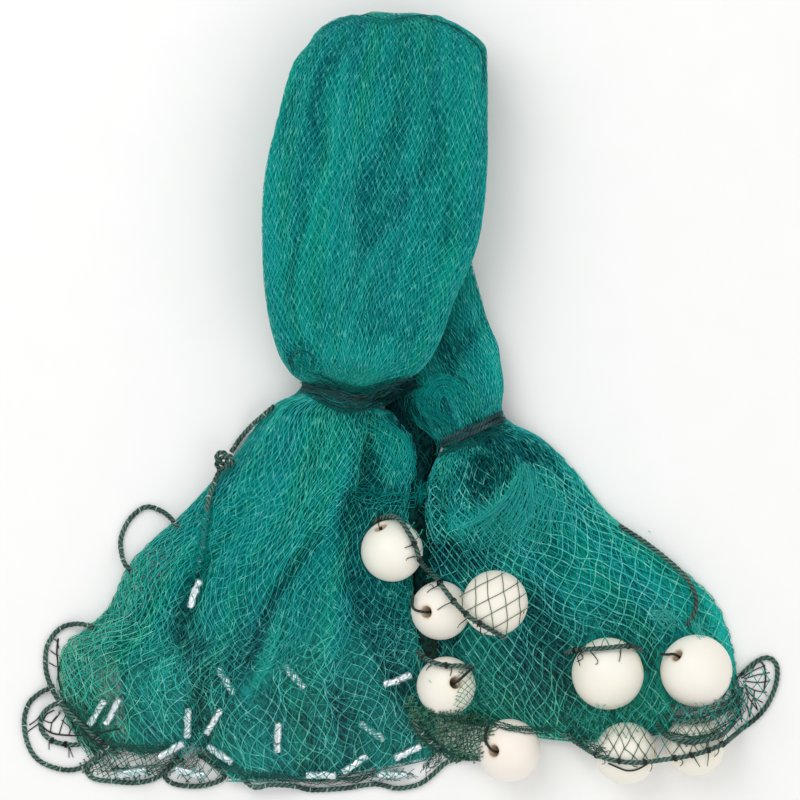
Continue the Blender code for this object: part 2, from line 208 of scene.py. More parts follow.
def unit(vectors):
    return vectors / np.maximum(np.linalg.norm(vectors, axis=-1, keepdims=True), 1e-9)


# two directions square to each of these and to each other
def squareTo(ahead, near):
    across = unit(np.cross(ahead, near))
    return across, np.cross(across, ahead)


def ringOf(across, up, angles):
    return across * np.cos(angles)[:, None] + up * np.sin(angles)[:, None]


def fullTurn(sides):
    return np.arange(sides) * 2 * math.pi / sides


# the direction to the left of a flat line, at each of its points
def leftOf(flat):
    ahead = unit(np.gradient(flat, axis=0))
    return np.stack([-ahead[:, 1], ahead[:, 0]], 1)


# how far along a line each of its points is
def reachOf(line):
    return np.concatenate([[0], np.cumsum(np.linalg.norm(np.diff(line, axis=0), axis=1))])


# the points at the wanted places of a line whose own points are at the given places
def pointsAt(line, own, wanted):
    return np.stack([np.interp(wanted, own, part) for part in line.T], 1)


# points at even distances along a smooth curve through a route's points
def evenlySpaced(points, spacing):
    fine = smoothAt(points, np.linspace(0, len(points) - 1, (len(points) - 1) * 24 + 1))
    lengths = reachOf(fine)
    count = max(2, round(lengths[-1] / spacing))
    return pointsAt(fine, lengths, np.linspace(0, lengths[-1], count + 1))


# the faces of a grid of points that joins up with itself both ways
def gridFaces(*shape):
    here = np.arange(math.prod(shape)).reshape(shape)
    beside = np.roll(here, -1, -1)
    return np.stack([here, beside, np.roll(beside, -1, -2), np.roll(here, -1, -2)], -1)


# a tube round each run of points; runs is an array of runs, points and x y z. A strand that is pressed into
# the mesh below it has three sides and needs no face on its underside.
def tubesOf(runs, radius, sides, pressed=False):
    runs = np.asarray(runs, float)
    count, steps = runs.shape[:2]
    across, up = squareTo(unit(np.gradient(runs, axis=1)), (0.05, 0.08, 1.0))
    ring = ringOf(across[:, :, None], up[:, :, None], math.pi / 2 + fullTurn(sides))
    wide = np.broadcast_to(np.asarray(radius, float), (count, steps))
    points = runs[:, :, None] + ring * wide[:, :, None, None]
    faces = gridFaces(count, steps, sides)[:, :-1]
    if pressed:
        faces = faces[:, :, [0, 2]]
    return points.reshape(-1, 3), faces.reshape(-1, 4)


# several lots of points and faces as one
def joined(lots):
    starts = np.cumsum([0] + [len(points) for points, _ in lots])
    faces = [faces + start for (_, faces), start in zip(lots, starts)]
    return np.concatenate([points for points, _ in lots]), np.concatenate(faces)


# a value for each point of a piece, for its finish to read
def mark(made, name, values):
    layer = made.data.attributes.new(name, "FLOAT", "POINT")
    layer.data.foreach_set("value", np.asarray(values, np.float32).ravel())


# A piece from points in mm from the tables' origin and faces all of one size. It stands for a node of the
# frame if one is named. Each point's value is its painted shade and light (a plain tone on loose strands and
# drapes), and parts which of the materials each face has.
def meshPiece(name, slot, points, faces, materials, node=None, shadeAndTone=None, flatMap=None, parts=None):
    points = (np.asarray(points, float).reshape(-1, 3) + place) * mm
    faces = faces.reshape(-1, faces.shape[-1])
    mesh = bpy.data.meshes.new(name)
    mesh.vertices.add(len(points))
    mesh.vertices.foreach_set("co", points.astype(np.float32).ravel())
    mesh.loops.add(faces.size)
    mesh.loops.foreach_set("vertex_index", faces.astype(np.int32).ravel())
    mesh.polygons.add(len(faces))
    mesh.polygons.foreach_set("loop_start", np.arange(0, faces.size, faces.shape[1], dtype=np.int32))
    if flatMap is not None:
        layer = mesh.uv_layers.new(name="OFBake")
        layer.uv.foreach_set("vector", flatMap.reshape(-1, 2).astype(np.float32)[faces.ravel()].ravel())
    if parts is not None:
        mesh.polygons.foreach_set("material_index", parts.astype(np.int32))
    mesh.polygons.foreach_set("use_smooth", np.full(len(faces), True))
    mesh.update(calc_edges=True)
    for one in materials:
        mesh.materials.append(one)
    made = bpy.data.objects.new(name, mesh)
    bpy.context.scene.collection.objects.link(made)
    if shadeAndTone is not None:
        mark(made, "shadeAndTone", shadeAndTone)
    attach(made, "root")
    if node:
        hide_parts(node)
    return made


# Laid rope of three strands, whipped to the net's edge with thread.
ropes = {
    "diameter": 3.8,
    "pointSpacing": 5.0,  # of the points that follow what lies under the rope
    "restGap": 0.9,
    "twist": 11.5,  # length of one full turn of a strand, mm
    "strands": 3,
    "strandSides": 7,
    "step": 1.1,
    "dip": 5.0,  # how far an end goes down into the netting
    "dipLength": 16.0,
}
ropeRoutes = {
    "side_line": [(-89, -2), (-97, -9), (-105, -16), (-113, -25), (-119, -34)],
    "side_line_tail": [(-127, -47), (-131, -56), (-134, -66), (-136, -82), (-139, -103), (-142, -119)],
    "lead_loop_a": [
        (-156, -87), (-162, -80), (-170, -75), (-180, -73), (-191, -82), (-197, -96), (-195, -110),
        (-190, -117),
    ],
    "lead_loop_b": [
        (-216, -157), (-226, -155), (-239, -158), (-248, -169), (-250, -182), (-248, -194), (-242, -206),
        (-231, -219), (-219, -230), (-208, -240), (-199, -247),
    ],
    "lead_loop_c": [
        (-244, -199), (-254, -204), (-262, -212), (-265, -226), (-261, -243), (-252, -253), (-236, -258),
        (-224, -256), (-214, -249), (-207, -242),
    ],
    "lead_loop_d": [
        (-236, -210), (-244, -212), (-252, -219), (-253, -229), (-246, -237), (-236, -240), (-226, -240),
    ],
    "lead_line_left": [
        (-208, -246), (-216, -252), (-221, -258), (-216, -264), (-203, -266), (-186, -267), (-173, -264),
        (-162, -256), (-154, -248),
    ],
    "lead_loop_e": [
        (-153, -250), (-161, -255), (-166, -261), (-163, -266), (-154, -269), (-138, -269), (-124, -263),
        (-131, -255), (-142, -247),
    ],
    "lead_line_right": [
        (-111, -264), (-102, -270), (-91, -268), (-75, -269), (-63, -272), (-40, -271), (-18, -268),
        (-2, -271), (13, -268), (23, -261), (32, -253), (42, -250), (55, -250),
    ],
    "lead_line_tail": [(28, -243), (22, -238), (14, -231), (10, -223), (8, -213)],
    "float_line_a": [
        (-19, -83), (-10, -79), (-4, -79), (1, -83), (5, -89), (9, -96), (12, -104), (15, -112),
        (24, -121), (31, -130), (39, -140), (49, -149), (61, -156), (73, -163),
    ],
    "float_line_b": [(12, -174), (16, -178), (21, -180), (28, -182), (36, -183), (44, -183), (51, -185)],
    "float_line_c": [
        (116, -175), (123, -172), (132, -171), (144, -170), (154, -169), (162, -169), (169, -173),
    ],
    "shoulder_line": [
        (154, -86), (171, -97), (189, -111), (201, -123), (207, -135), (206, -147), (201, -156),
    ],
    "float_hem": [
        (114, -231), (125, -239), (139, -246), (161, -250), (187, -248), (210, -243), (230, -235),
        (246, -225), (257, -214), (264, -199), (265, -185), (259, -179), (250, -182), (241, -190),
    ],
    "inner_line_1": [
        (179, -224), (183, -230), (190, -234), (202, -236), (215, -234), (227, -230), (235, -224),
    ],
    "inner_line_2": [
        (187, -220), (195, -222), (208, -222), (221, -219), (232, -214), (238, -208), (240, -200),
    ],
}
fromKnot = ["side_line_tail"]
intoKnot = ["side_line"]
overFloats = ["float_line_a", "float_line_b", "float_line_c", "float_hem", "inner_line_1", "inner_line_2"]


# Round strands that wind about a line. The third result is 1 out on a strand and 0 in the grooves; it
# sets the painted shade in the grooves.
def laidRope(line, diameter, twist, sides, step):
    line = evenlySpaced(line, step)
    across, up = squareTo(unit(np.gradient(line, axis=0)), (0.03, 0.06, 1.0))
    strands = ropes["strands"]
    strandRadius = diameter / 2 / (1 + 1 / math.sin(math.pi / strands)) * 1.12  # a little flattened together
    along = np.arange(len(line)) * step
    turns = [2 * math.pi * (along / twist + k / strands) for k in range(strands)]
    runs = [line + ringOf(across, up, turn) * (diameter / 2 - strandRadius) for turn in turns]
    points, faces = tubesOf(runs, strandRadius, sides)
    core = np.broadcast_to(line[None, :, None], (strands, len(line), sides, 3)).reshape(-1, 3)
    out = np.linalg.norm(points - core, axis=1) / (diameter / 2)
    return points, faces, np.clip((out - 0.5) / 0.5, 0, 1)


# The hank: one row for each section, from the hem with the sinkers, over the fold, to the hem with floats.
Section = namedtuple("Section", "left right outer inner bow turn")
leftLimb = table(Section, [
    ((-217, -254, 2), (23, -250, 2), 5, 8, 14, 0),
    ((-236, -224, 2), (25, -220, 2), 12, 8, 20, 0),
    ((-243, -195, 2), (22, -192, 2), 17, 8, 26, 0),
    ((-237, -168, 2), (16, -166, 2), 21, 8, 27, 0),
    ((-208, -145, 2), (11, -138, 2), 25, 8, 24, 0),
    ((-190, -110, 2), (9, -103, 2), 28, 8, 21, 0),
    ((-152, -75, 2), (9, -64, 2), 30, 8, 16, 0),
    ((-118, -38, 2), (9, -28, 2), 32, 8, 8, 0),
    ((-91, -3, 5), (-4, -8, 5), 28, 12, 2, 0),
    ((-71, 7, 20), (-18, -2, 20), 14, 13, 0, 0),
    ((-69, 15, 21), (-16, 6, 21), 14, 13, 0, 0),
    ((-77, 22, 34), (12, 22, 46), 22, 14, -2, 0),
    ((-86, 37, 44), (27, 43, 54), 24, 17, 0, 0),
    ((-93, 65, 50), (37, 71, 56), 22, 16, 0, 0),
    ((-96, 107, 56), (54, 112, 57), 19, 17, 0, 0),
    ((-94.5, 156, 57), (60, 160, 57), 18, 18, 0, 0),
    ((-85, 200, 57), (61, 201, 57), 18, 18, 0, 0),
])
rightLimb = table(Section, [
    ((-78, 205, 18), (58, 207, 18), 24, 18, 0, 180),
    ((-77, 156, 18), (51, 158, 18), 24, 18, 0, 180),
    ((-65, 107, 18), (48, 112, 18), 24, 18, 0, 180),
    ((-40, 61, 18), (58, 70, 18), 24, 17, 0, 180),
    ((-14, 29, 18), (68, 39, 18), 24, 17, 0, 180),
    ((9, 1, 18), (72, 14, 18), 24, 20, 0, 180),
    ((26, -24, 20), (71, -4, 20), 13, 14, 0, 180),
    ((30, -32, 20), (75, -12, 20), 13, 14, 0, 180),
    ((22, -46, 6), (99, -24, 6), 12, 26, 2, 180),
    ((14, -64, 2), (122, -47, 2), 8, 31, 7, 180),
    ((12, -92, 2), (147, -78, 2), 8, 30, 13, 180),
    ((13, -122, 2), (191, -110, 2), 8, 27, 20, 180),
    ((17, -155, 2), (222, -138, 2), 8, 22, 24, 180),
    ((26, -188, 2), (234, -169, 2), 8, 17, 24, 180),
    ((34, -208, 2), (238, -199, 2), 8, 12, 21, 180),
    ((48, -222, 2), (236, -216, 2), 8, 5, 19, 180),
])
fold = {"y": 235, "middleZ": 37.5, "radius": 19.5, "thickness": 18}
crowns = [(0, -75, 61), (45, -64, 59), (90, -61, 46), (135, -64, 57), (180, -74, 59)]  # turn, left, right
# Long soft folds from one row to another, across from -1 at the left edge to 1 at the right.
Fold = namedtuple("Fold", "start end acrossStart acrossEnd width height")
foldsLeft = table(Fold, [
    (0.5, 6.6, -0.14, 0.46, 0.10, -8),
    (2.5, 6.8, 0.84, 0.50, 0.12, -7),
    (0.5, 7.5, 0.24, 0.46, 0.16, 6),
    (5.6, 8.0, 0.66, 0.52, 0.17, -14),
    (0.8, 8.5, -0.58, -0.50, 0.08, -5),
    (0.8, 8.5, -0.36, -0.24, 0.11, 5),
    (0.6, 5.0, 0.56, 0.62, 0.08, -4),
    (10.6, 16.5, -0.44, -0.62, 0.10, -4),
    (10.8, 17.5, 0.30, -0.34, 0.11, -5),
    (12.5, 18.5, -0.15, 0.52, 0.13, -5),
    (11.5, 19.0, 0.62, 0.70, 0.20, 3),
    (13.0, 19.5, -0.42, -0.24, 0.10, 3),
])
foldsRight = table(Fold, [
    (25.5, 28.2, 0.35, 0.20, 0.24, 5),
    (30.0, 32.6, -0.15, -0.08, 0.24, -11),
    (31.2, 33.4, 0.50, -0.75, 0.18, 6),
    (30.6, 37.0, 0.55, 0.46, 0.16, 5),
    (31.6, 37.5, 0.28, 0.16, 0.10, -5),
    (31.0, 37.5, 0.80, 0.76, 0.10, -4),
    (33.0, 37.5, -0.55, -0.48, 0.12, -4),
])


def allSections():
    middle = []
    for turn, left, right in crowns:
        angle = math.radians(turn)
        y = fold["y"] + fold["radius"] * math.sin(angle)
        z = fold["middleZ"] + fold["radius"] * math.cos(angle)
        middle.append(Section((left, y, z), (right, y, z), fold["thickness"], fold["thickness"], 0, turn))
    return leftLimb + middle + rightLimb


sections = allSections()
foldRow = len(leftLimb) + len(crowns) // 2
lastRow = len(sections) - 1


# a column of the sections at places between the rows
def column(name, rows):
    return smoothAt([getattr(one, name) for one in sections], rows)


def foldHeight(folds, row, across):
    height = np.zeros(np.broadcast(row, across).shape)
    for one in folds:
        share = np.clip((row - one.start) / (one.end - one.start), 0, 1)
        middle = one.acrossStart + (one.acrossEnd - one.acrossStart) * share
        fade = np.sqrt(np.maximum(np.sin(math.pi * share), 0))
        height = height + one.height * fade * np.exp(-(((across - middle) / one.width) ** 2))
    return height


# points of the netting's surface for each row and place across; side is 1 on the outer side, -1 inside
def hankSide(rows, across, side):
    left = column("left", rows)[:, None]
    line = column("right", rows)[:, None] - left
    bow = column("bow", rows)[:, None, None]
    angle = np.radians(column("turn", rows))
    row = rows[:, None]
    if side > 0:
        thickness = column("outer", rows)[:, None]
        folds = foldHeight(foldsLeft, row, across) * (row < foldRow)
    else:
        thickness = column("inner", rows)[:, None]
        folds = foldHeight(foldsRight, row, across) * (row > foldRow)
    ahead = unit(np.stack([line[..., 1], -line[..., 0], line[..., 0] * 0], -1))
    outwards = np.stack([angle * 0, np.sin(angle), np.cos(angle)], -1)[:, None] * side
    fullness = (1 - np.abs(across) ** 2.6) ** 0.55
    rise = (thickness + folds * (1 - across**4)) * fullness
    share = ((across + 1) / 2)[None, :, None]
    points = left + line * share + ahead * bow * (1 - across**2)[None, :, None] + outwards * rise[..., None]
    points[..., 2] = np.maximum(points[..., 2], 0)
    return points


# The same surface as an even grid round the hank: around runs from 0 at the left edge, 1 at the right edge,
# to 2 at the left edge again; along runs in mm from the hem with the sinkers.
class Hank:
    columns = 96
    rowStep = 0.1

    def __init__(self):
        self.rows = np.arange(0, lastRow + self.rowStep / 2, self.rowStep)
        across = np.sin(np.linspace(-1, 1, 181) * math.pi / 2)
        top = self.even(hankSide(self.rows, across, 1))
        bottom = self.even(hankSide(self.rows, across, -1)[:, ::-1])
        self.points = np.concatenate([top[:, :-1], bottom[:, :-1]], 1)
        sideways = np.roll(self.points, -1, 1) - np.roll(self.points, 1, 1)
        self.normals = unit(np.cross(sideways, np.gradient(self.points, axis=0)))
        for _ in range(3):
            self.normals = self.softened(self.normals)
        self.along = reachOf(self.points[:, self.columns // 2])

    # each row's points, moved to even distances
    def even(self, side):
        share = np.linspace(0, 1, self.columns + 1)
        lengths = [reachOf(line) for line in side]
        return np.stack([pointsAt(line, own, share * own[-1]) for line, own in zip(side, lengths)])

    def softened(self, normals):
        total = normals + np.roll(normals, 1, 1) + np.roll(normals, -1, 1)
        total[1:] += normals[:-1]
        total[:-1] += normals[1:]
        return unit(total)

    def rowAt(self, along):
        return np.interp(along, self.along, self.rows)

    def alongAt(self, row):
        return np.interp(row, self.rows, self.along)

    # the point and the outward direction at places on the surface
    def at(self, around, along):
        x = np.mod(around, 2) * self.columns
        y = np.clip(self.rowAt(along) / self.rowStep, 0, len(self.rows) - 1.001)
        return between(self.points, y, x), unit(between(self.normals, y, x))


hank = Hank()
print("hank:", round(hank.along[-1]), "mm along")

floats = {"clearance": 1.0}
# middle, diameter and the direction of the hole of each ball float
Ball = namedtuple("Ball", "x y z diameter hole")
balls = table(Ball, [
    (-6, -103, 24.0, 43.4, (-0.39, 0.81, 0.44)),
    (28, -145, 20.8, 41.3, (-0.53, -0.03, 0.85)),
    (66, -139, 42.5, 45.5, (0.93, -0.30, 0.20)),
    (32, -198, 21.0, 41.3, (0.34, 0.17, 0.93)),
    (76, -243, 22.2, 44.1, (-0.54, 0.03, 0.84)),
    (145, -189, 27.0, 50.4, (0.95, 0.28, 0.12)),
    (207, -187, 26.5, 50.4, (-0.60, 0.48, 0.64)),
    (158, -245, 21.8, 43.4, (0.98, 0.05, 0.18)),
    (206, -240, 21.1, 42.0, (0.96, 0.20, 0.15)),
])


# The netting: a solid heart of packed mesh, and layers of true strands over it.
net = {
    "heartDepth": 5.6,
    "heartColumns": 180,
    "heartRows": 360,
    "heartRagged": 5,  # how unevenly the heart ends, mm
    "heartClosing": 6,  # over what length it closes there
    "underSag": 7.6,  # how far the heart under the lobe hangs down towards the limb below
    "fullThickness": 30,  # where the hank is thinner than this its layers lie closer
    "pleatHeight": 1.9,
    "pleatsAcross": 20,
    "pleatLength": 110,
    "ownPleatHeight": 0.7,
    "pleatWander": 2.2,
    "broadPleats": 0.38,  # their share, against that of the narrow ones
    "leastLean": 0.35,  # how much of its lean a layer keeps between the waists
    "bunching": 0.008,
    "bayMargin": 2.0,
    "thinEdgeDepth": 2.4,
    # the next four values paint shade and light into the mesh's colour: darker in troughs and deeper layers,
    # lighter on ridges
    "plainShade": 0.58,
    "creaseShade": 0.085,  # how much darker or lighter the mesh is for each mm of a crease
    "pleatShade": 0.2,
    "depthShade": 0.03,
}
limbRows = {"lobe": (9.2, 19.6), "left": (-1, 9.2), "right": (28.4, 38), "back": (19.6, 28.4)}

# Creases: height is positive for a ridge and negative for a trough, and the points are its line as seen
# from above.
Crease = namedtuple("Crease", "width height line")
creases = {
    "lobe": table(Crease, [
        (4, 2.6, [(-38, 235), (-42, 200), (-46, 170), (-57, 142), (-67, 105), (-71, 75), (-64, 44)]),
        (5, 1.6, [(-29, 218), (-33, 192), (-37, 165), (-46, 152)]),
        (9, 1.5, [(42, 250), (50, 218), (48, 190), (50, 150)]),
        (4, 2.6, [(2, 122), (-14, 110), (-24, 90), (-31, 66), (-38, 44)]),
        (9, 1.8, [(38, 100), (28, 86), (22, 60)]),
        (9, 2.0, [(-54, 34), (-34, 30), (-8, 24)]),
        (4, 1.8, [(-84, 168), (-90, 122), (-88, 84), (-82, 54)]),
        (6, -3.0, [(-29, 266), (-40, 248), (-56, 228), (-61, 208), (-58, 186), (-53, 166)]),
        (7, -2.6, [(22, 240), (24, 212), (26, 190), (20, 166), (10, 153), (-2, 138), (-18, 114)]),
        (9, -2.4, [(4, 206), (-6, 184), (-18, 160), (-30, 138), (-33, 112)]),
        (3.6, -2.6, [(-64, 130), (-72, 106), (-78, 84), (-79, 64), (-77, 50)]),
        (7, -2.4, [(-12, 58), (-6, 48)]),
        (9, -1.4, [(46, 126), (34, 112)]),
        (2.2, -3.6, [(-77, 28), (-75, 37), (-68, 41), (-61, 36), (-57, 26), (-54, 18)]),
        (3, -1.4, [(-52, 252), (-70, 226), (-80, 200), (-86, 174)]),
        (5, -1.8, [(-50, 100), (-56, 80), (-54, 58)]),
        (8, -1.2, [(8, 262), (4, 236), (-14, 222)]),
    ]),
    "left": table(Crease, [
        (6, -6.5, [(-57, -94), (-72, -112), (-86, -134), (-96, -156), (-104, -180), (-105, -198)]),
        (10, -3.0, [(-108, -168), (-116, -192), (-126, -216)]),
        (3, -2.4, [(-72, -122), (-80, -150), (-86, -174)]),
        (7, -4.5, [(-38, -106), (-30, -132), (-20, -162), (-9, -184), (2, -204)]),
        (9, -4.0, [(-22, -122), (-10, -146), (2, -172)]),
        (6, -4.5, [(-141, -120), (-150, -142), (-156, -158), (-152, -170)]),
        (3.4, -6.0, [(-22, -24), (-24, -42), (-26, -62)]),
        (6, -4.0, [(-14, -56), (-30, -66), (-36, -82), (-33, -104)]),
        (4, -2.6, [(-205, -198), (-180, -184), (-158, -170)]),
        (5, -3.2, [(-143, -200), (-141, -222), (-150, -240)]),
        (6, -2.4, [(-96, -203), (-86, -216), (-62, -226), (-58, -248)]),
        (6, -2.4, [(-46, -202), (-40, -226), (-34, -248)]),
        (5, -2.0, [(-190, -214), (-172, -236), (-150, -252)]),
        (1.6, -1.8, [(-66, -104), (-92, -114), (-120, -118), (-142, -118)]),
        (4.5, 4.2, [(-84, -162), (-92, -184), (-104, -200), (-114, -214)]),
        (8, 2.2, [(-50, -96), (-51, -130), (-49, -168), (-46, -190)]),
        (14, 2.0, [(-84, -18), (-104, -58), (-128, -88)]),
        (5, 3.6, [(-14, -16), (1, -26), (6, -40), (2, -54)]),
        (8, 2.2, [(-186, -122), (-198, -150), (-212, -174)]),
        (9, 1.8, [(-166, -178), (-170, -212)]),
        (8, 1.6, [(-102, -224), (-100, -250)]),
    ]),
    "back": table(Crease, [
        (5, -3.0, [(60, 62), (48, 46), (36, 32), (30, 14)]),
        (5, 2.6, [(70, 52), (64, 30), (69, 10)]),
    ]),
    "right": table(Crease, [
        (12, -7.0, [(62, -38), (58, -50), (55, -62)]),
        (6, -4.5, [(62, -22), (76, -28), (98, -42)]),
        (10, -4.0, [(20, -104), (40, -106), (62, -104)]),
        (18, -4.6, [(94, -134), (104, -160), (102, -186), (92, -212)]),
        (8, -4.0, [(10, -58), (12, -88), (14, -118)]),
        (8, -3.4, [(118, -172), (116, -196), (126, -216), (150, -216)]),
        (6, -3.6, [(176, -172), (176, -200)]),
        (5, 5.0, [(84, -42), (80, -53), (74, -61), (67, -71), (57, -79), (44, -85), (30, -89)]),
        (5, 3.0, [(44, -26), (30, -40), (24, -60)]),
        (13, 2.4, [(100, -50), (112, -72), (132, -94)]),
        (10, 2.6, [(130, -106), (136, -126)]),
        (8, 2.4, [(160, -100), (184, -124), (194, -146)]),
    ]),
}

# Where the mesh is darker or lighter over a wider patch: amount is from -1 to 1.
# these patches are painted shade, and painted light where amount is above 0
Shade = namedtuple("Shade", "x y reachX reachY amount")
shades = {
    "lobe": table(Shade, [
        (-70, 22, 18, 12, -0.06),
        (-24, 30, 40, 16, 0.14),
        (-42, 20, 26, 12, 0.38),
        (-50, 28, 26, 9, 0.2),
        (-69, 26, 8, 9, -0.3),
        (-70, 230, 10, 20, 0.14),
        (-22, 190, 12, 40, 0.17),
        (50, 226, 16, 26, 0.12),
        (-56, 158, 9, 34, -0.13),
        (-45, 120, 20, 50, 0.08),
        (-86, 130, 9, 60, 0.12),
        (36, 92, 16, 16, 0.12),
        (18, 165, 20, 50, 0.02),
    ]),
    "back": table(Shade, [
        (26, -4, 12, 18, -0.4),
        (28, 42, 12, 22, -0.22),
        (60, 18, 12, 32, 0.14),
    ]),
    "left": table(Shade, [
        (-5, -150, 26, 55, -0.14),
        (-18, -85, 22, 34, -0.34),
        (-20, -215, 42, 26, -0.1),
        (-100, -264, 150, 8, -0.12),
        (-60, -258, 30, 8, -0.12),
        (-150, -165, 16, 22, -0.18),
        (-143, -195, 9, 36, -0.3),
        (-132, -236, 8, 24, 0.14),
        (-90, -55, 36, 30, 0.04),
        (-84, -40, 34, 12, -0.12),
        (-92, -8, 14, 10, 0.14),
        (-58, -100, 12, 64, -0.13),
        (-76, -212, 13, 16, 0.06),
        (-90, -220, 12, 20, -0.12),
        (-172, -192, 20, 30, 0.1),
        (-52, -170, 14, 26, 0.06),
        (-45, 0, 60, 9, -0.18),
        (-18, -9, 20, 9, -0.3),
        (1, -12, 11, 10, -0.6),
        (11, -28, 5, 13, -0.3),
        (-20, -43, 6, 9, -0.55),
        (-16, -66, 25, 6, -0.45),
        (-150, -92, 26, 22, 0.2),
        (-190, -116, 18, 20, 0.28),
        (-222, -182, 18, 52, 0.36),
        (-206, -230, 22, 16, 0.24),
    ]),
    "right": table(Shade, [
        (60, -55, 20, 18, -0.2),
        (26, -60, 12, 30, -0.34),
        (35, -108, 30, 14, -0.42),
        (28, -158, 13, 15, -0.3),
        (100, -140, 14, 25, -0.2),
        (84, -190, 34, 26, -0.2),
        (20, -170, 22, 60, -0.34),
        (142, -112, 42, 36, 0.28),
        (132, -128, 12, 10, 0.14),
        (98, -84, 14, 12, 0.14),
        (116, -74, 10, 10, -0.12),
        (196, -148, 24, 24, 0.26),
        (46, -84, 26, 9, 0.14),
        (92, -36, 24, 12, -0.3),
        (222, -165, 16, 44, 0.36),
        (186, -200, 50, 30, 0.4),
        (55, -25, 40, 9, -0.2),
        (176, -175, 9, 20, -0.14),
    ]),
}
# near each tie the mesh is pulled tight and painted darker, painted shade: row, reach and amount
necks = [(9.57, 0.55, -0.34), (28.5, 0.7, -0.34)]


# what the marks on each limb add up to at these points, as far as each is on the side that faces up
def marksAt(marks, amountAt, points, along, upward):
    row = hank.rowAt(along)
    total = np.zeros(row.shape)
    for limb, (start, end) in limbRows.items():
        here = (row > start) & (row < end) & (upward > 0)
        flat = points[here][:, :2]
        total[here] = sum(amountAt(one, flat) for one in marks[limb]) * upward[here]
    return total


# 0 at the left edge to 1 at the right edge of the side that faces up, and outside those on the underside
def facing(around, along):
    return np.mod(around, 2) - (hank.rowAt(along) >= foldRow)


def shadeAt(one, flat):
    away = ((flat[:, 0] - one.x) / one.reachX) ** 2 + ((flat[:, 1] - one.y) / one.reachY) ** 2
    return one.amount * np.exp(-(away**1.5))


def broadShade(points, around, along):
    across = facing(around, along)
    total = marksAt(shades, shadeAt, points, along, (across > 0) & (across < 1))
    for middle, reach, amount in necks:
        total += amount * np.exp(-(((hank.rowAt(along) - middle) / reach) ** 2))
    return total


# a crease is at its full height half way along its line
def creaseAt(one, flat):
    nearest = np.full(len(flat), 1e9)
    strength = np.zeros(len(flat))
    line = np.array(one.line, float)
    for k in range(len(line) - 1):
        step = line[k + 1] - line[k]
        share = np.clip(((flat - line[k]) @ step) / (step @ step), 0, 1)
        away = np.linalg.norm(flat - line[k] - share[:, None] * step, axis=1)
        closer = away < nearest
        nearest = np.where(closer, away, nearest)
        through = (k + share) / (len(line) - 1)
        strength = np.where(closer, 0.45 + 0.55 * np.sin(math.pi * through), strength)
    return one.height * strength * np.exp(-((nearest / one.width) ** 2))


def creaseHeight(points, around, along):
    across = facing(around, along)
    upward = np.clip(across * 12 + 0.5, 0, 1) * np.clip((1 - across) * 12 + 0.5, 0, 1)
    return marksAt(creases, creaseAt, points, along, upward)


# how thick the hank is at a place, against its full thickness
def thinness(along):
    row = hank.rowAt(along)
    thickness = np.where(row < foldRow, column("outer", row), column("inner", row))
    return np.clip((thickness + 3) / net["fullThickness"], 0.15, 1)


def pleats(around, along, seed):
    wander = unevenness(around * 3 + seed, along / 140, seed + 1) * net["pleatWander"]
    narrow = unevenness(around * net["pleatsAcross"] + wander, along / net["pleatLength"] + 7, seed)
    broad = unevenness(around * net["pleatsAcross"] / 2.5 + wander, along / 160 + 3, seed + 2)
    return (narrow * (1 - net["broadPleats"]) + broad * net["broadPleats"]) * 2 - 1


# points on the hank at a depth, and the painted shade and light of each: 0 dark, deep in a fold, 1 light, on
# a ridge
def onHank(around, along, depth, seed):
    points, normals = hank.at(around, along)
    crease = creaseHeight(points, around, along)
    share = thinness(along)
    common = pleats(around, along, 11)
    rise = net["pleatHeight"] * common + net["ownPleatHeight"] * pleats(around, along, seed)
    lift = (rise - depth) * share + crease * np.clip(share * 1.3, 0, 1)
    points = points + normals * lift[..., None]
    shadeAndTone = net["plainShade"] + net["creaseShade"] * crease + net["pleatShade"] * common
    shadeAndTone = shadeAndTone - net["depthShade"] * depth + broadShade(points, around, along)
    return points, np.clip(shadeAndTone, 0, 1)


def insideOutline(x, y, outline):
    inside = np.zeros(x.shape, bool)
    corners = np.array(outline, float)
    for k in range(len(corners)):
        ax, ay = corners[k]
        bx, by = corners[k - 1]
        crosses = (ay > y) != (by > y)
        inside ^= crosses & (x < (bx - ax) * (y - ay) / (by - ay + 1e-9) + ax)
    return inside


# Bays in the hems, where only loose strands lie on the floor and over the floats.
bays = [
    [
        (-226, -248), (-214, -243), (-200, -241), (-186, -244), (-172, -244), (-160, -242), (-148, -239),
        (-138, -241), (-130, -250), (-119, -262), (-111, -285), (-240, -285), (-240, -256),
    ],
    [
        (186, -213), (192, -211), (202, -212), (214, -210), (226, -204), (238, -194), (250, -196),
        (250, -240), (190, -240), (189, -224),
    ],
]


def inBay(x, y):
    return np.any([insideOutline(x, y, bay) for bay in bays], axis=0)


# Strands go round a float and not over or through it.
def clearOfFloats(points):
    covered = np.zeros(points.shape[:-1], bool)
    for ball in balls:
        reach = ball.diameter / 2 + floats["clearance"]
        middle = np.array(ball[:3])
        off = points - middle
        flat = np.linalg.norm(off[..., :2], axis=-1)
        covered |= (flat < reach - 0.6) & (off[..., 2] > -reach * 0.35)
        away = np.linalg.norm(off, axis=-1)
        push = np.where(away < reach, reach / np.maximum(away, 0.1), 1)[..., None]
        points = middle + off * push
    return points, covered


# Along the left fan's outer edge the mesh is thin and see-through: how much of the width the heart stays
# back there, by row. The deeper layers thin out over the same width.
thinEdge = [(0, 0.08), (1, 0.16), (2.6, 0.18), (3.4, 0.12), (4.2, 0.11), (5.1, 0.15), (6.0, 0.08), (7.0, 0.0)]


def insetAt(along):
    share = np.interp(hank.rowAt(along), *np.transpose(thinEdge))
    broad = unevenness(along / 34, along * 0, 93)
    return share * (0.8 + 0.35 * broad + 0.1 * unevenness(along / 9, along * 0, 94))


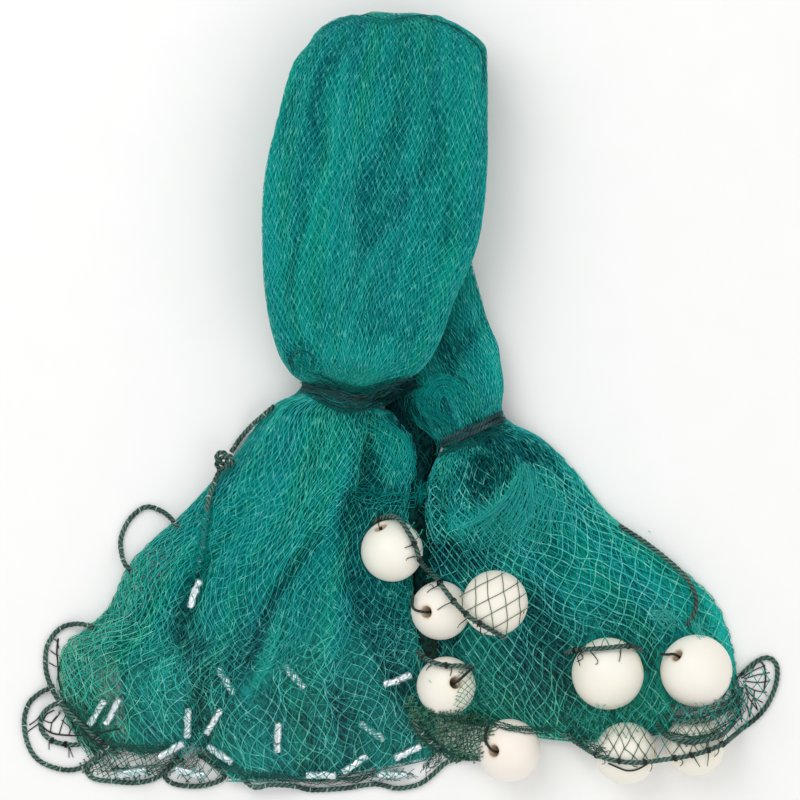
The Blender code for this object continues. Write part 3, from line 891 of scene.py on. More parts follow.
# A layer of diamond mesh: rows of the hank it covers, places around it, meshes across one side, the height
# of a mesh, how deep it lies, its lean, how uneven it is, how thick its strands are and in how many steps
# each is bent, its finish, the row and reach in which it thins out, and how much lighter it is (painted
# light).
Layer = namedtuple("Layer", "rows around columns height depth lean uneven strand steps finish thinOut lit")


# How far its strands stray across and onward, in broad waves on fine ones: the amount, how often the wave
# comes across, where it starts, and how often it comes onward.
strayAcross = [(0.9, 0.8, 0, 0.4), (3.4, 0.16, 0, 0.06)]
strayOnward = [(1.3, 0.7, 9, 0.4), (7, 0.14, 0, 0.05)]


def strayOf(waves, across, onward, seed):
    return sum(
        amount * drift(across * often + start, onward * oftenOn, seed + k)
        for k, (amount, often, start, oftenOn) in enumerate(waves)
    )


# the strands of a diamond mesh that is one wide and two high, as places across and along
def diamonds(columns, rows, steps):
    i, j = np.meshgrid(np.arange(columns), np.arange(rows), indexing="ij")
    share = np.linspace(0, 1, steps + 1)
    runs = []
    for way in (0, -1):
        left = i + 0.5 * (j % 2)
        right = i + j % 2 + way + 0.5 * ((j + 1) % 2)
        across = left[..., None] + (right - left)[..., None] * share
        runs.append(np.stack([across, j[..., None] + share], -1).reshape(-1, steps + 1, 2))
    return np.concatenate(runs)


def meshLayer(layer, seed):
    start, end = (float(hank.alongAt(row)) for row in layer.rows)
    rowCount = int(round((end - start) / layer.height * 2))
    columnCount = int(round((layer.around[1] - layer.around[0]) * layer.columns))
    draw = np.random.default_rng(seed)
    across, onward = np.moveaxis(diamonds(columnCount, rowCount, layer.steps) + draw.random(2), -1, 0)
    stray = layer.uneven * strayOf(strayAcross, across, onward, seed + 60)
    strayOn = layer.uneven * strayOf(strayOnward, across, onward, seed + 62)
    along = start + (onward + strayOn) * layer.height / 2
    around = layer.around[0] + (across + stray) / layer.columns
    # it leans less between the waists
    row = hank.rowAt(along)
    waist = 1 - np.clip((row - 8) / 2, 0, 1) * np.clip((30 - row) / 2, 0, 1)
    lean = layer.lean * np.maximum(waist, net["leastLean"])
    around = around + lean * (along - (start + end) / 2) / (end - start)
    around = around + net["bunching"] * drift(around * 15 + 5, along / 120, 31)
    unbroken = np.ones(len(around), bool)
    if layer.depth > net["thinEdgeDepth"]:
        inside = np.abs(around.mean(1)) / np.maximum(insetAt(along).mean(1), 0.0001)
        unbroken = draw.random(len(around)) < np.clip(inside - 0.05, 0, 1)
    points, shadeAndTone = onHank(around, along, layer.depth, seed)
    points[..., 2] = np.maximum(points[..., 2], layer.strand / 2)
    points, covered = clearOfFloats(points)
    points[..., 2] = np.maximum(points[..., 2], layer.strand / 2)
    kept = ~covered.any(1) & unbroken & ~inBay(points[..., 0], points[..., 1]).all(1)
    if layer.thinOut:
        hem, reach = layer.thinOut
        far = np.abs(along[:, 0] - hank.alongAt(hem)) / reach
        kept &= far > unevenness(around[:, 0] * 30, along[:, 0] / 20, seed + 80) * 1.2
    shadeAndTone = shadeAndTone + layer.lit * (1 - shadeAndTone)
    return points[kept], np.stack([around, along], -1)[kept], shadeAndTone[kept]


def strandPiece(name, seed, rows):
    layers = table(Layer, rows)
    finishes = sorted({layer.finish for layer in layers})
    lots = []
    places = []
    parts = []
    shadeAndToneLists = []
    for number, layer in enumerate(layers):
        runs, where, shadeAndTone = meshLayer(layer, seed + 7 * number)
        lots.append(tubesOf(runs, layer.strand / 2, 3, name != "netting_thin_edge"))
        spot = np.stack([np.mod(where[..., 0] + 0.25, 2) / 2, where[..., 1] / hank.along[-1]], -1)
        spot = spot[:, :, None] + np.array([(0, 0.0004), (-0.0006, -0.0003), (0.0006, -0.0003)])
        places.append(spot.reshape(-1, 2))
        parts.append(np.full(len(lots[-1][1]), finishes.index(layer.finish)))
        shadeAndToneLists.append(np.repeat(shadeAndTone.ravel(), 3))
    points, faces = joined(lots)
    meshPiece(
        name, "net", points, faces, [strandFinishes[one] for one in finishes], shadeAndTone=np.concatenate(shadeAndToneLists),
        flatMap=np.concatenate(places), parts=np.concatenate(parts),
    )
    print(name, len(faces) * 2, "triangles")


# the mesh's hue wanders along its folds, and it is a little greener and greyer towards the hems and the
# outer edge
def greener(finish, color):
    x, y, _ = finish.parts(finish.inObject())
    amount = (y * -1).rising(0.1, 0.24).most((x * -1).rising(0.13, 0.24))
    patches = finish.streaks(finish.onMap(), (26.0, 7.0, 1.0), 3)
    color = finish.mix(patches.rising(0.46, 0.7), color, tone(255, 255, 236), "MULTIPLY")
    color = finish.mix((1 - patches).rising(0.48, 0.7), color, tone(250, 246, 255), "MULTIPLY")
    green = (x * -1).rising(0.15, 0.24).most((y * -1).rising(0.15, 0.24) * x.rising(0, 0.06) * 0.8)
    color = finish.mix(green, color, tone(255, 255, 232), "MULTIPLY")
    return finish.mix(amount * 0.07, color, tone(150, 160, 130))


# A strand runs from its dark to its light tone with the painted shade and light of each point; its pale
# flecks are painted highlights, stronger where it is painted lighter.
def strandFinish(name, light, dark, pale):
    finish = Finish(name, Roughness=0.5, Specular_IOR_Level=0.07)
    streaks = finish.streaks(finish.onMap(), (60.0, 14.0, 1.0), 3)
    broken = finish.streaks(finish.onMap(), (170.0, 190.0, 1.0), 1)
    patches = finish.noise(14.0, 2)
    shadeAndTone = finish.attribute("shadeAndTone")
    amount = shadeAndTone * 0.85 + (streaks * 0.5 + patches * 0.3) * 0.5 + broken * 0.5 - 0.38
    color = finish.mix(amount.rising(0.05, 0.8), dark, light)
    color = finish.mix(broken.rising(0.5, 0.68) * (shadeAndTone * 0.6 + 0.3), color, pale)
    return finish.paint(Base_Color=greener(finish, color))


# The heart runs from its low to its high tone with the painted shade and light of each point; its lines are
# the mesh's own pattern.
def heartFinish(name="packedMesh", low=tone(0, 62, 76), high=tone(0, 180, 168), line=tone(36, 196, 188)):
    finish = Finish(name, Roughness=0.7, Specular_IOR_Level=0.05)
    spot = finish.onMap()
    across, onward, _ = finish.parts(spot)
    wobble = finish.streaks(spot, (150.0, 70.0, 1.0), 2)
    wander = finish.streaks(spot, (40.0, 20.0, 1.0), 2)
    lines = None
    for scale, lean, turn in ((94, 31, 0.35), (71, -47, 0.1)):
        x = across * scale + onward * lean * 0.5 + wobble * 0.9 + wander * 3.0
        y = onward * 118 + wobble * 0.8 + turn
        first = ((x + y).fraction() - 0.5).size()
        second = ((x - y + 400).fraction() - 0.5).size()
        both = first.most(second).rising(0.32, 0.5)
        lines = both if lines is None else lines.most(both * 0.7)
    fibres = finish.streaks(spot, (420.0, 120.0, 1.0), 3)
    streaks = finish.streaks(spot, (90.0, 9.0, 1.0), 3)
    amount = finish.attribute("shadeAndTone") * 0.95 + streaks * 0.3 + fibres * 0.5 - 0.42
    ground = finish.mix(amount.rising(-0.05, 0.85), low, high)
    color = finish.mix(lines * (fibres * 0.8), ground, line)
    finish.bump(lines * 0.5 + fibres, 0.5, 0.0008)
    return finish.paint(Base_Color=greener(finish, color))


def heart(rowStart, rowEnd):
    ends = hank.alongAt(rowStart), hank.alongAt(rowEnd)
    around = np.linspace(0, 2, net["heartColumns"] + 1)[:-1]
    around, along = np.meshgrid(around, np.linspace(*ends, net["heartRows"]), indexing="xy")
    inset = insetAt(along)
    around = np.where(around <= 1, inset + around * (1 - inset), 2 - inset - (2 - around) * (1 - inset))
    # it comes nearer the surface at the outline, so that no light shows between it and the strands
    edge = np.exp(-(((around - np.round(around)) / 0.05) ** 2)) * (inset < 0.01)
    # and under the lobe it sags towards the limb below
    row = hank.rowAt(along)
    under = np.sqrt(np.maximum(np.sin(math.pi * (around - 1)), 0)) * (around > 1)
    sag = net["underSag"] * under * np.clip(row - 11, 0, 1) * np.clip(foldRow - 0.8 - row, 0, 1)
    points, shadeAndTone = onHank(around, along, net["heartDepth"] * (1 - 0.75 * edge) - sag, 11)
    # near an end the heart closes towards its own middle
    ragged = unevenness(around * 30, along / 12, 71) * net["heartRagged"]
    toEnd = np.minimum(along - ends[0], ends[1] - along) - ragged
    middle = (hank.at(around, along)[0] + hank.at(2 - around, along)[0]) / 2
    closing = np.clip(1 - toEnd / net["heartClosing"], 0, 1)[..., None] ** 2
    points = points * (1 - closing) + middle * closing
    for ball in balls:
        reach = ball.diameter / 2 + floats["clearance"]
        flat = np.linalg.norm(points[..., :2] - (ball.x, ball.y), axis=-1)
        below = ball.z - np.sqrt(np.maximum(reach**2 - flat**2, 0))
        points[..., 2] = np.where(flat < reach, np.minimum(points[..., 2], below), points[..., 2])
    points[..., 2] = np.maximum(points[..., 2], 0.3)
    faces = gridFaces(*around.shape)[:-1].reshape(-1, 4)
    corners = points.reshape(-1, 3)[faces]
    faces = faces[~inBay(corners[..., 0], corners[..., 1] - net["bayMargin"]).all(1)]
    flatMap = np.stack([around / 2, along / hank.along[-1]], -1)
    made = meshPiece("netting_heart", "net", points, faces, [heartFinish()], "netting", shadeAndTone, flatMap)


heart(0.12, 36.8)
# Each finish's light tone, dark tone and pale flecks: lit and shaded copies of the one netting colour,
# painted light on the top layers and painted shade on deep layers, hems, waists and the nook. The pale flecks
# are painted highlights, and the last finish is for painted glints.
strandTones = {
    "light": ((36, 184, 176), (0, 95, 100), (106, 212, 204)),
    "bright": ((70, 197, 187), (8, 106, 107), (144, 224, 216)),
    "middle": ((4, 170, 162), (0, 82, 91), (44, 194, 186)),
    "deep": ((0, 150, 143), (0, 62, 75), (10, 172, 164)),
    "dark": ((14, 96, 92), (2, 40, 46), (60, 150, 142)),
    "slate": ((42, 92, 92), (8, 36, 42), (84, 134, 132)),
    "black": ((8, 56, 58), (0, 20, 28), (24, 96, 92)),
    "worn": ((110, 214, 200), (60, 180, 168), (180, 240, 228)),
}
strandFinishes = {
    name: strandFinish("mesh" + name.capitalize(), *(tone(*one) for one in tones))
    for name, tones in strandTones.items()
}
outside = (-0.1, 1.1)
topOfRight = (0.9, 2.1)
strandPiece("netting_lobe", 100, [
    ((9.6, 19.4), outside, 44, 7.8, 0.0, -0.26, 0.9, 0.44, 1, "light", None, 0.1),
    ((9.6, 19.4), outside, 50, 7.6, 0.8, 0.20, 0.9, 0.44, 1, "middle", None, 0.1),
    ((9.6, 19.4), outside, 38, 9.5, 1.6, 0.02, 0.9, 0.5, 1, "light", None, 0.0),
    ((9.6, 19.4), outside, 40, 9.5, 2.8, -0.10, 0.9, 0.6, 1, "deep", None, 0.0),
])
strandPiece("netting_left_fan", 200, [
    ((1.6, 9.6), outside, 37, 11.5, 0.1, -0.14, 1.0, 0.56, 2, "light", (1.6, 70), 0.3),
    ((2.0, 9.6), outside, 52, 9.0, 1.0, 0.12, 1.1, 0.46, 1, "light", (2.0, 60), 0.0),
    ((0.1, 9.6), outside, 42, 11, 2.0, 0.10, 1.0, 0.55, 1, "middle", None, 0.0),
    ((0.1, 9.6), outside, 36, 12, 3.0, -0.10, 1.0, 0.6, 1, "deep", None, 0.0),
])
strandPiece("netting_thin_edge", 230, [
    ((0.1, 7.0), (-0.15, 0.19), 84, 6.0, 2.5, 0.04, 1.3, 0.46, 1, "middle", None, 0.0),
    ((0.1, 7.0), (-0.15, 0.19), 66, 7.0, 3.4, -0.05, 1.3, 0.5, 1, "deep", None, 0.0),
])
strandPiece("netting_left_hem", 250, [
    ((0.1, 5.0), outside, 30, 11, 0.0, 0.10, 1.4, 0.62, 3, "bright", (5.0, 90), 0.3),
    ((0.1, 5.5), outside, 34, 10, 0.8, -0.16, 1.5, 0.5, 2, "light", (5.5, 70), 0.1),
    ((0.0, 4.0), outside, 34, 10, 1.8, 0.22, 1.5, 0.6, 2, "dark", (4.0, 60), 0.0),
])
strandPiece("netting_right_fan", 300, [
    ((28.3, 36.9), topOfRight, 21, 13.0, 0.0, 0.08, 0.8, 0.78, 4, "bright", (29.3, 60), 0.35),
    ((28.3, 36.9), topOfRight, 26, 12.0, 1.2, -0.14, 1.0, 0.55, 3, "light", None, 0.2),
    ((28.3, 33.2), topOfRight, 50, 8.6, 0.6, 0.16, 1.1, 0.5, 1, "light", (33.2, 110), 0.0),
    ((28.3, 36.9), topOfRight, 30, 12, 3.0, -0.05, 1.0, 0.55, 1, "deep", None, 0.0),
    ((28.3, 36.9), topOfRight, 34, 12, 4.0, 0.12, 1.0, 0.6, 1, "dark", None, 0.0),
])
strandPiece("netting_back_limb", 400, [
    ((21.6, 28.6), topOfRight, 40, 9.5, 0.0, 0.0, 0.9, 0.46, 1, "light", None, 0.0),
    ((21.6, 28.6), topOfRight, 40, 9.5, 1.2, 0.1, 0.9, 0.55, 1, "deep", None, 0.0),
    ((19.2, 21.8), (0.0, 2.0), 40, 9.5, 0.0, 0.0, 0.9, 0.46, 1, "light", None, 0.0),
    ((19.2, 21.8), (0.0, 2.0), 40, 9.5, 1.2, 0.1, 0.9, 0.55, 1, "deep", None, 0.0),
    ((11.6, 17.8), (1.15, 1.85), 30, 12, net["heartDepth"] - net["underSag"],
     0.0, 0.9, 0.46, 1, "middle", None, 0.0),
])


# The dark mesh low down between the two fans and in the hollow by the waists, a near-black sheet that paints
# their shadow: its line, half its width and its height.
hollow = [
    (-8, 16, 10, 12), (2, 6, 16, 12), (8, -6, 17, 11), (13, -19, 16, 9), (15, -31, 13, 9),
    (13, -42, 10, 10), (11, -54, 9, 11), (11, -68, 9, 12), (12, -88, 9, 12), (14, -110, 9, 11),
    (17, -131, 9, 10), (19, -152, 10, 10), (23, -173, 10, 9), (25, -190, 9, 7), (26, -204, 6, 5),
    (26, -214, 2, 2),
]
hollowLook = {"rows": 160, "columns": 25, "wave": 5, "shadeAndTone": 0.35}


def fillHollow():
    line = smoothAt(hollow, np.linspace(0, len(hollow) - 1, hollowLook["rows"]))
    across = np.linspace(-1, 1, hollowLook["columns"])
    flat = line[:, None, :2] + leftOf(line[:, :2])[:, None] * (across[:, None] * line[:, None, 2:3])
    wave = drift(flat[..., 0] / 7, flat[..., 1] / 16, 61)
    height = line[:, None, 3] * (1 - np.abs(across) ** 3) + wave * hollowLook["wave"] * (1 - across**2)
    points = np.concatenate([flat, np.maximum(height, 0.3)[..., None]], -1)
    faces = np.roll(gridFaces(*height.shape)[:-1, :-1], -1, -1)
    finish = heartFinish("hollowShadowMesh", tone(3, 12, 16), tone(4, 46, 48), tone(10, 88, 84))
    flatMap = flat / (700, 1100) + 0.5
    # the sheet's painted shade lightens where it lies higher
    shadeAndTone = hollowLook["shadeAndTone"] + wave
    meshPiece("netting_hollow", "net", points, faces, [finish], shadeAndTone=shadeAndTone, flatMap=flatMap)
    return points.reshape(-1, 3)


hollowPoints = fillHollow()


# How high the netting's top lies, on an even grid.
class Terrain:
    step = 1.5
    margin = 60

    def __init__(self):
        around, along = np.meshgrid(np.linspace(0, 2, 900), np.arange(0, hank.along[-1], 1.2), indexing="ij")
        points = np.concatenate([onHank(around, along, 0, 11)[0].reshape(-1, 3), hollowPoints])
        self.low = points[:, :2].min(0) - self.margin
        size = ((points[:, :2].max(0) + self.margin - self.low) / self.step).astype(int) + 2
        self.grid = np.zeros(size)
        at = np.round((points[:, :2] - self.low) / self.step).astype(int)
        np.maximum.at(self.grid, (at[:, 0], at[:, 1]), points[:, 2])
        x, y = np.meshgrid(np.arange(size[0]), np.arange(size[1]), indexing="ij")
        self.grid[inBay(x * self.step + self.low[0], y * self.step + self.low[1])] = 0

    def bare(self, x, y):
        size = np.array(self.grid.shape) - 2
        across = np.clip((x - self.low[0]) / self.step, 0, size[0])
        return between(self.grid, across, np.clip((y - self.low[1]) / self.step, 0, size[1]))

    # the highest thing within reach of each place
    def at(self, x, y, reach=0.0, overFloats=True):
        x = np.asarray(x, float)
        y = np.asarray(y, float)
        highest = np.zeros(x.shape)
        turns = fullTurn(8) if reach else []
        for across, ahead in [(0, 0)] + [(math.cos(turn) * reach, math.sin(turn) * reach) for turn in turns]:
            highest = np.maximum(highest, self.bare(x + across, y + ahead))
            for ball in balls if overFloats else []:
                away = (x + across - ball.x) ** 2 + (y + ahead - ball.y) ** 2
                rise = np.sqrt(np.maximum((ball.diameter / 2) ** 2 - away, 0))
                highest = np.maximum(highest, np.where(rise > 0, ball.z + rise, 0))
        return highest


terrain = Terrain()


# heights that never drop faster than the given amount from one point to the next
def eased(height, drop):
    for k in range(1, len(height)):
        height[k] = max(height[k], height[k - 1] - drop)
    for k in range(len(height) - 2, -1, -1):
        height[k] = max(height[k], height[k + 1] - drop)
    return height


# How loose strands lie: clear of what is under them by a gap, with their ends tucked in over a few points,
# and how steeply those of a bunch and of a fan may drop from one point to the next.
loose = {
    "gap": 0.3, "tuck": 1.4, "tuckPoints": 3, "bunchStep": 2.4, "bunchDrop": 2.2, "fanPoints": 40,
    "fanDrop": 1.2,
}


def laidStrand(flat, lift, drop, thickness):
    near = np.arange(len(flat))
    tucked = np.clip(np.minimum(near, near[::-1]) / loose["tuckPoints"], 0, 1)
    rest = eased(terrain.at(flat[:, 0], flat[:, 1], 0.4), drop)
    height = rest + (lift + loose["gap"]) * tucked - loose["tuck"] * (1 - tucked)
    return np.column_stack([flat, np.maximum(height, thickness / 2)])


# Mesh bunched along a hem or round a waist: a bundle of thin strands that stray about a line.
Bunch = namedtuple("Bunch", "line strands spread zigzag lift thickness finish")
bunches = table(Bunch, [
    ([(-238, -207), (-226, -224), (-214, -237), (-200, -241), (-180, -243), (-162, -241), (-147, -237)],
     16, 4.0, 1.4, 3, 0.5, "dark"),
    ([(-244, -214), (-236, -212), (-226, -216), (-214, -229), (-204, -240)], 9, 4.0, 1.4, 3, 0.5, "dark"),
    ([(-224, -256), (-208, -256), (-190, -259), (-172, -257), (-158, -248), (-146, -238)],
     9, 4.0, 1.4, 3, 0.45, "dark"),
    ([(-160, -262), (-148, -252), (-140, -242), (-134, -230), (-132, -212)], 8, 4.0, 1.4, 3, 0.45, "dark"),
    ([(-142, -240), (-130, -248), (-118, -256), (-104, -263), (-90, -264)], 10, 4.0, 1.4, 3, 0.45, "dark"),
    ([(-110, -262), (-90, -262), (-66, -266), (-40, -265), (-18, -262), (-2, -264), (14, -262)],
     16, 3.6, 1.4, 3, 0.45, "dark"),
    ([(14, -262), (20, -255), (26, -248), (24, -240), (16, -232), (10, -222), (8, -210)],
     14, 4.5, 1.4, 3, 0.5, "dark"),
    ([(112, -212), (118, -222), (126, -231), (138, -238)], 14, 5.0, 1.2, 3, 0.5, "dark"),
    ([(58, -222), (78, -227), (98, -230), (114, -229)], 12, 2.4, 1.2, 2, 0.5, "dark"),
    ([(112, -229), (122, -234), (136, -241), (150, -244)], 10, 3.0, 1.2, 3, 0.5, "dark"),
    ([(234, -190), (238, -200), (240, -210), (236, -220), (228, -226)], 16, 4.5, 1.4, 3, 0.5, "dark"),
    ([(180, -219), (196, -219), (212, -217), (226, -212), (236, -204)], 13, 3.0, 1.0, 3, 0.5, "dark"),
    ([(178, -228), (190, -231), (206, -232), (222, -228), (236, -220)], 10, 2.6, 1.0, 3, 0.5, "dark"),
    ([(236, -194), (243, -188), (250, -184)], 8, 2.4, 1.2, 2, 0.5, "dark"),
    ([(9, -218), (10, -228), (17, -236), (28, -243), (38, -248), (53, -250)], 14, 3.4, 0.8, 3, 0.6, "dark"),
    ([(14, -219), (28, -220), (44, -222), (56, -226), (70, -224)], 14, 3.4, 0.8, 4, 0.6, "dark"),
    # the tight waists, in dark strands of painted shade
    ([(-71, 14), (-56, 9), (-42, 3), (-28, 1), (-12, 6), (0, 11), (14, 15)], 36, 5.4, 0.5, 5, 0.75, "slate"),
    ([(-70, 11), (-56, 4), (-42, -3), (-28, -4), (-14, 1), (-4, 7)], 16, 3.4, 0.8, 3, 0.5, "dark"),
    ([(-66, 20), (-54, 16), (-40, 10), (-26, 9), (-12, 13), (2, 17)], 12, 3.4, 0.8, 3, 0.5, "dark"),
    ([(-64, 10), (-50, 4), (-38, -2), (-28, -3), (-16, 1), (-6, 7)], 6, 3.0, 0.8, 4, 0.4, "middle"),
    ([(26, -31), (40, -23), (57, -16), (74, -11)], 20, 2.6, 0.4, 4, 0.7, "slate"),
    ([(24, -38), (40, -30), (58, -22), (78, -17)], 16, 3.4, 0.8, 3, 0.5, "dark"),
    # the dark rim along the top of the lobe, and the curl low on its left
    ([(-58, 258), (-48, 265), (-36, 268), (-22, 267), (-8, 266), (6, 268), (18, 269)],
     6, 1.8, 1.2, 0.6, 0.34, "deep"),
    ([(12, 269), (24, 266), (36, 261), (48, 253), (55, 246), (58, 235), (58, 215)],
     5, 1.2, 1.2, 0.6, 0.34, "dark"),
    ([(-24, 268), (-8, 267), (6, 269), (18, 270), (30, 264)], 4, 1.6, 1.2, 0.6, 0.34, "dark"),
    ([(-72, 19), (-76, 26), (-75, 33), (-69, 36), (-63, 33), (-61, 27), (-63, 20)],
     6, 1.8, 0.5, 2, 0.34, "dark"),
    ([(-70, 18), (-73, 25), (-71, 30), (-67, 30), (-65, 26), (-66, 20)], 6, 1.2, 0.5, 2, 0.34, "deep"),
    # frayed mesh by the right edge
    ([(174, -143), (182, -148), (188, -154), (196, -159)], 24, 6.5, 1.4, 3, 0.42, "bright"),
    ([(206, -148), (208, -156), (214, -164)], 12, 4.0, 1.2, 3, 0.4, "bright"),
    # the light rim of the left fan beside the hollow
    ([(-27, -10), (-10, -14), (2, -23), (8, -38), (10, -50), (4, -60)], 9, 2.2, 0.4, 2, 0.34, "middle"),
    ([(-30, -14), (-16, -20), (-7, -30), (-3, -42), (-4, -54)], 8, 3.0, 0.4, 2, 0.34, "middle"),
    # strands that sweep round below the swirl
    ([(14, 18), (11, 9), (12, 1), (16, -6), (25, -12), (33, -16), (40, -19)], 8, 2.0, 0.3, 2, 0.36, "deep"),
    ([(8, 12), (5, 2), (7, -7), (14, -15), (21, -21), (26, -28), (26, -37)], 9, 1.8, 0.3, 3, 0.36, "light"),
    ([(11, 11), (9, 2), (10, -5), (16, -12), (23, -18), (28, -24)], 8, 2.0, 0.3, 2, 0.36, "deep"),
    ([(18, 20), (15, 12), (15, 4), (19, -3), (27, -8), (36, -12), (46, -15)], 8, 2.0, 0.3, 2, 0.34, "deep"),
    # loose mesh over the hollow between the fans
    ([(8, 15), (4, 4), (6, -8), (12, -20), (14, -36), (12, -52)], 8, 7.0, 1.6, 3, 0.4, "dark"),
    ([(12, -50), (10, -60), (11, -74)], 10, 6.0, 2.0, 4, 0.5, "deep"),
    ([(-40, -61), (-22, -62), (-6, -64), (8, -66), (24, -66)], 8, 4.0, 0.8, 3, 0.36, "deep"),
    ([(-38, -66), (-18, -70), (2, -68), (18, -72)], 5, 5.0, 0.8, 3, 0.34, "light"),
    ([(12, -70), (26, -76), (44, -79), (60, -76)], 6, 6.0, 0.8, 3, 0.36, "middle"),
    # the dark nook beside the left waist: near-black strands that paint its shadow
    ([(-16, 3), (-8, 7), (0, 10), (8, 14), (15, 18)], 24, 5.0, 0.6, 4, 0.6, "black"),
    ([(0, 15), (1, 8), (3, 0), (4, -8), (5, -16)], 26, 5.0, 0.6, 3, 0.6, "black"),
])


def bunchedMesh(bunch, seed):
    line = evenlySpaced(bunch.line, loose["bunchStep"])
    own = np.linspace(0, 1, len(line))
    draw = np.random.default_rng(600 + seed)
    runs = []
    for k in range(bunch.strands):
        places = np.linspace(draw.uniform(0, 0.22), draw.uniform(0.78, 1), len(line))
        at = pointsAt(line, own, places)
        along = places * len(line) * loose["bunchStep"]
        offset = drift(along / 16 + 7 * k, along * 0 + k, 610 + seed) * 2
        zigzag = (np.arange(len(line)) % 2 - 0.5) * draw.uniform(0.3, 1) * bunch.zigzag
        aside = offset * bunch.spread + draw.uniform(-0.4, 0.4) * bunch.spread + zigzag
        lift = unevenness(along / 12 + 3 * k, along * 0 + 31 + k, 640 + seed) * bunch.lift
        flat = at + leftOf(at) * aside[:, None]
        runs.append(laidStrand(flat, lift, loose["bunchDrop"], bunch.thickness))
    return tubesOf(runs, bunch.thickness / 2, 3, True)


# Mesh fanned out from one line to another: strands that share their way between the two.
Fan = namedtuple("Fan", "first last strands stray lift thickness finish")
frillEdge = [(82, -42), (80, -52), (75, -60), (67, -70), (57, -78), (44, -84), (30, -88)]
frillMiddle = [(90, -42), (93, -55), (94, -69), (92, -86), (86, -102)]
frillEnd = [(98, -44), (107, -57), (117, -71), (124, -86), (126, -102)]
swirlOut = [(14, -14), (12, -2), (15, 10), (22, 19), (32, 21), (42, 16), (50, 6), (57, -6)]
swirlIn = [(29, -6), (28, -1), (29, 3), (31, 5), (33, 4), (35, 1), (37, -4)]
fans = table(Fan, [
    (frillEdge, frillMiddle, 50, 1.4, 3, 0.38, "light"),
    (frillEdge, frillMiddle, 26, 1.6, 3, 0.38, "bright"),
    (frillMiddle, frillEnd, 20, 1.6, 3, 0.36, "light"),
    # and the strands that cross it
    ([(79, -50), (90, -58), (102, -70), (112, -86)], [(32, -86), (38, -97), (48, -108), (60, -120)],
     34, 1.6, 3, 0.34, "light"),
    ([(82, -48), (74, -66), (56, -84), (36, -98)], [(112, -68), (106, -86), (96, -102), (82, -116)],
     22, 1.6, 3, 0.34, "bright"),
    (swirlOut, swirlIn, 26, 0.7, 2, 0.34, "middle"),
    (swirlOut, swirlIn, 9, 0.7, 2, 0.3, "light"),
    ([(28, 33), (32, 27), (38, 21), (46, 16), (56, 8), (63, -4)],
     [(38, 43), (41, 34), (46, 25), (53, 16), (62, 2)], 9, 1.2, 2, 0.34, "light"),
])


def fannedMesh(fan, seed):
    draw = np.random.default_rng(1600 + seed)
    runs = []
    for k in range(fan.strands):
        share = (k + draw.uniform(0, 1)) / fan.strands
        places = np.linspace(draw.uniform(0, 0.24), draw.uniform(0.7, 0.999), loose["fanPoints"])
        first, last = (smoothAt(line, places * (len(line) - 1)) for line in (fan.first, fan.last))
        flat = first * (1 - share) + last * share
        stray = drift(places * 5 + 3 * k, places * 0 + k, 1610 + seed) * 2 * fan.stray
        lift = unevenness(places * 4 + 3 * k, places * 0 + 31 + k, 1640 + seed) * fan.lift
        flat = flat + leftOf(flat) * stray[:, None]
        runs.append(laidStrand(flat, lift, loose["fanDrop"], fan.thickness))
    return tubesOf(runs, fan.thickness / 2, 3, True)


# Short bright bits of strand, painted glints on the mesh: middle, reach and number.
glintLook = {"radius": 0.26, "sides": 4, "lift": (0.5, 1.0, 0.6)}
Worn = namedtuple("Worn", "x y reachX reachY count")
glintSpots = table(Worn, [
    (40, -66, 22, 12, 4), (102, -84, 20, 16, 7), (186, -150, 14, 9, 26), (150, -112, 50, 30, 6),
    (180, -216, 44, 8, 20), (60, -196, 34, 24, 12), (-190, -190, 30, 40, 8),
    (-100, -232, 80, 22, 24), (-46, -66, 30, 30, 5),
])


def glintMesh():
    draw = np.random.default_rng(77)
    runs = []
    for spot in glintSpots:
        for _ in range(spot.count):
            middle = np.array((spot.x, spot.y)) + draw.normal(0, 0.5, 2) * (spot.reachX, spot.reachY)
            turn = draw.uniform(0, math.pi)
            half = draw.uniform(0.4, 1.1) * np.array((math.cos(turn), math.sin(turn)))
            flat = np.array([middle - half, middle, middle + half])
            height = terrain.at(flat[:, 0], flat[:, 1], 0.6) + glintLook["lift"]
            runs.append(np.column_stack([flat, height]))
    return tubesOf(runs, glintLook["radius"], glintLook["sides"])


def ropeLine(name):
    thickness = ropes["diameter"]
    flat = evenlySpaced(ropeRoutes[name], ropes["pointSpacing"])
    rest = terrain.at(flat[:, 0], flat[:, 1], thickness * 0.45, name in overFloats)
    near = np.maximum(rest, np.maximum(np.append(rest[1:], 0), np.insert(rest[:-1], 0, 0)))
    even = (near + np.append(near[1:], near[-1]) + np.insert(near[:-1], 0, near[0])) / 3
    height = np.maximum(even, rest) + thickness / 2 + ropes["restGap"] * (rest > 0)
    # an end that goes into the netting dips down into it, and one at the knot doesn't
    order = np.arange(len(flat))
    away = np.minimum(order, order[::-1]) * ropes["pointSpacing"]
    dips = np.where(order < (len(flat) - 1) / 2, name not in fromKnot, name not in intoKnot)
    sunk = ropes["dip"] * np.clip(1 - away / ropes["dipLength"], 0, 1) ** 2 * dips * (rest > 1)
    height = np.maximum(height - sunk, thickness / 2 + 0.05)
    return np.column_stack([flat, height])


def ropeFinish():
    finish = Finish("laidRope", Roughness=0.62, Specular_IOR_Level=0.3)
    fibres = finish.streaks(finish.inObject(), (900.0, 900.0, 400.0), 2)
    # lighter fibres: wear, and painted highlights on the rope
    worn = (finish.noise(55.0, 3) * 0.7 + fibres * 0.6).rising(0.4, 0.9)
    color = finish.mix(worn, tone(34, 62, 56), tone(96, 134, 122))
    # darker in the grooves between the strands: painted shade
    color = finish.mix(finish.attribute("shadeAndTone").rising(0.35, 0.95), tone(8, 18, 20), color)
    finish.bump(fibres, 0.5, 0.0005)
    return finish.paint(Base_Color=color)


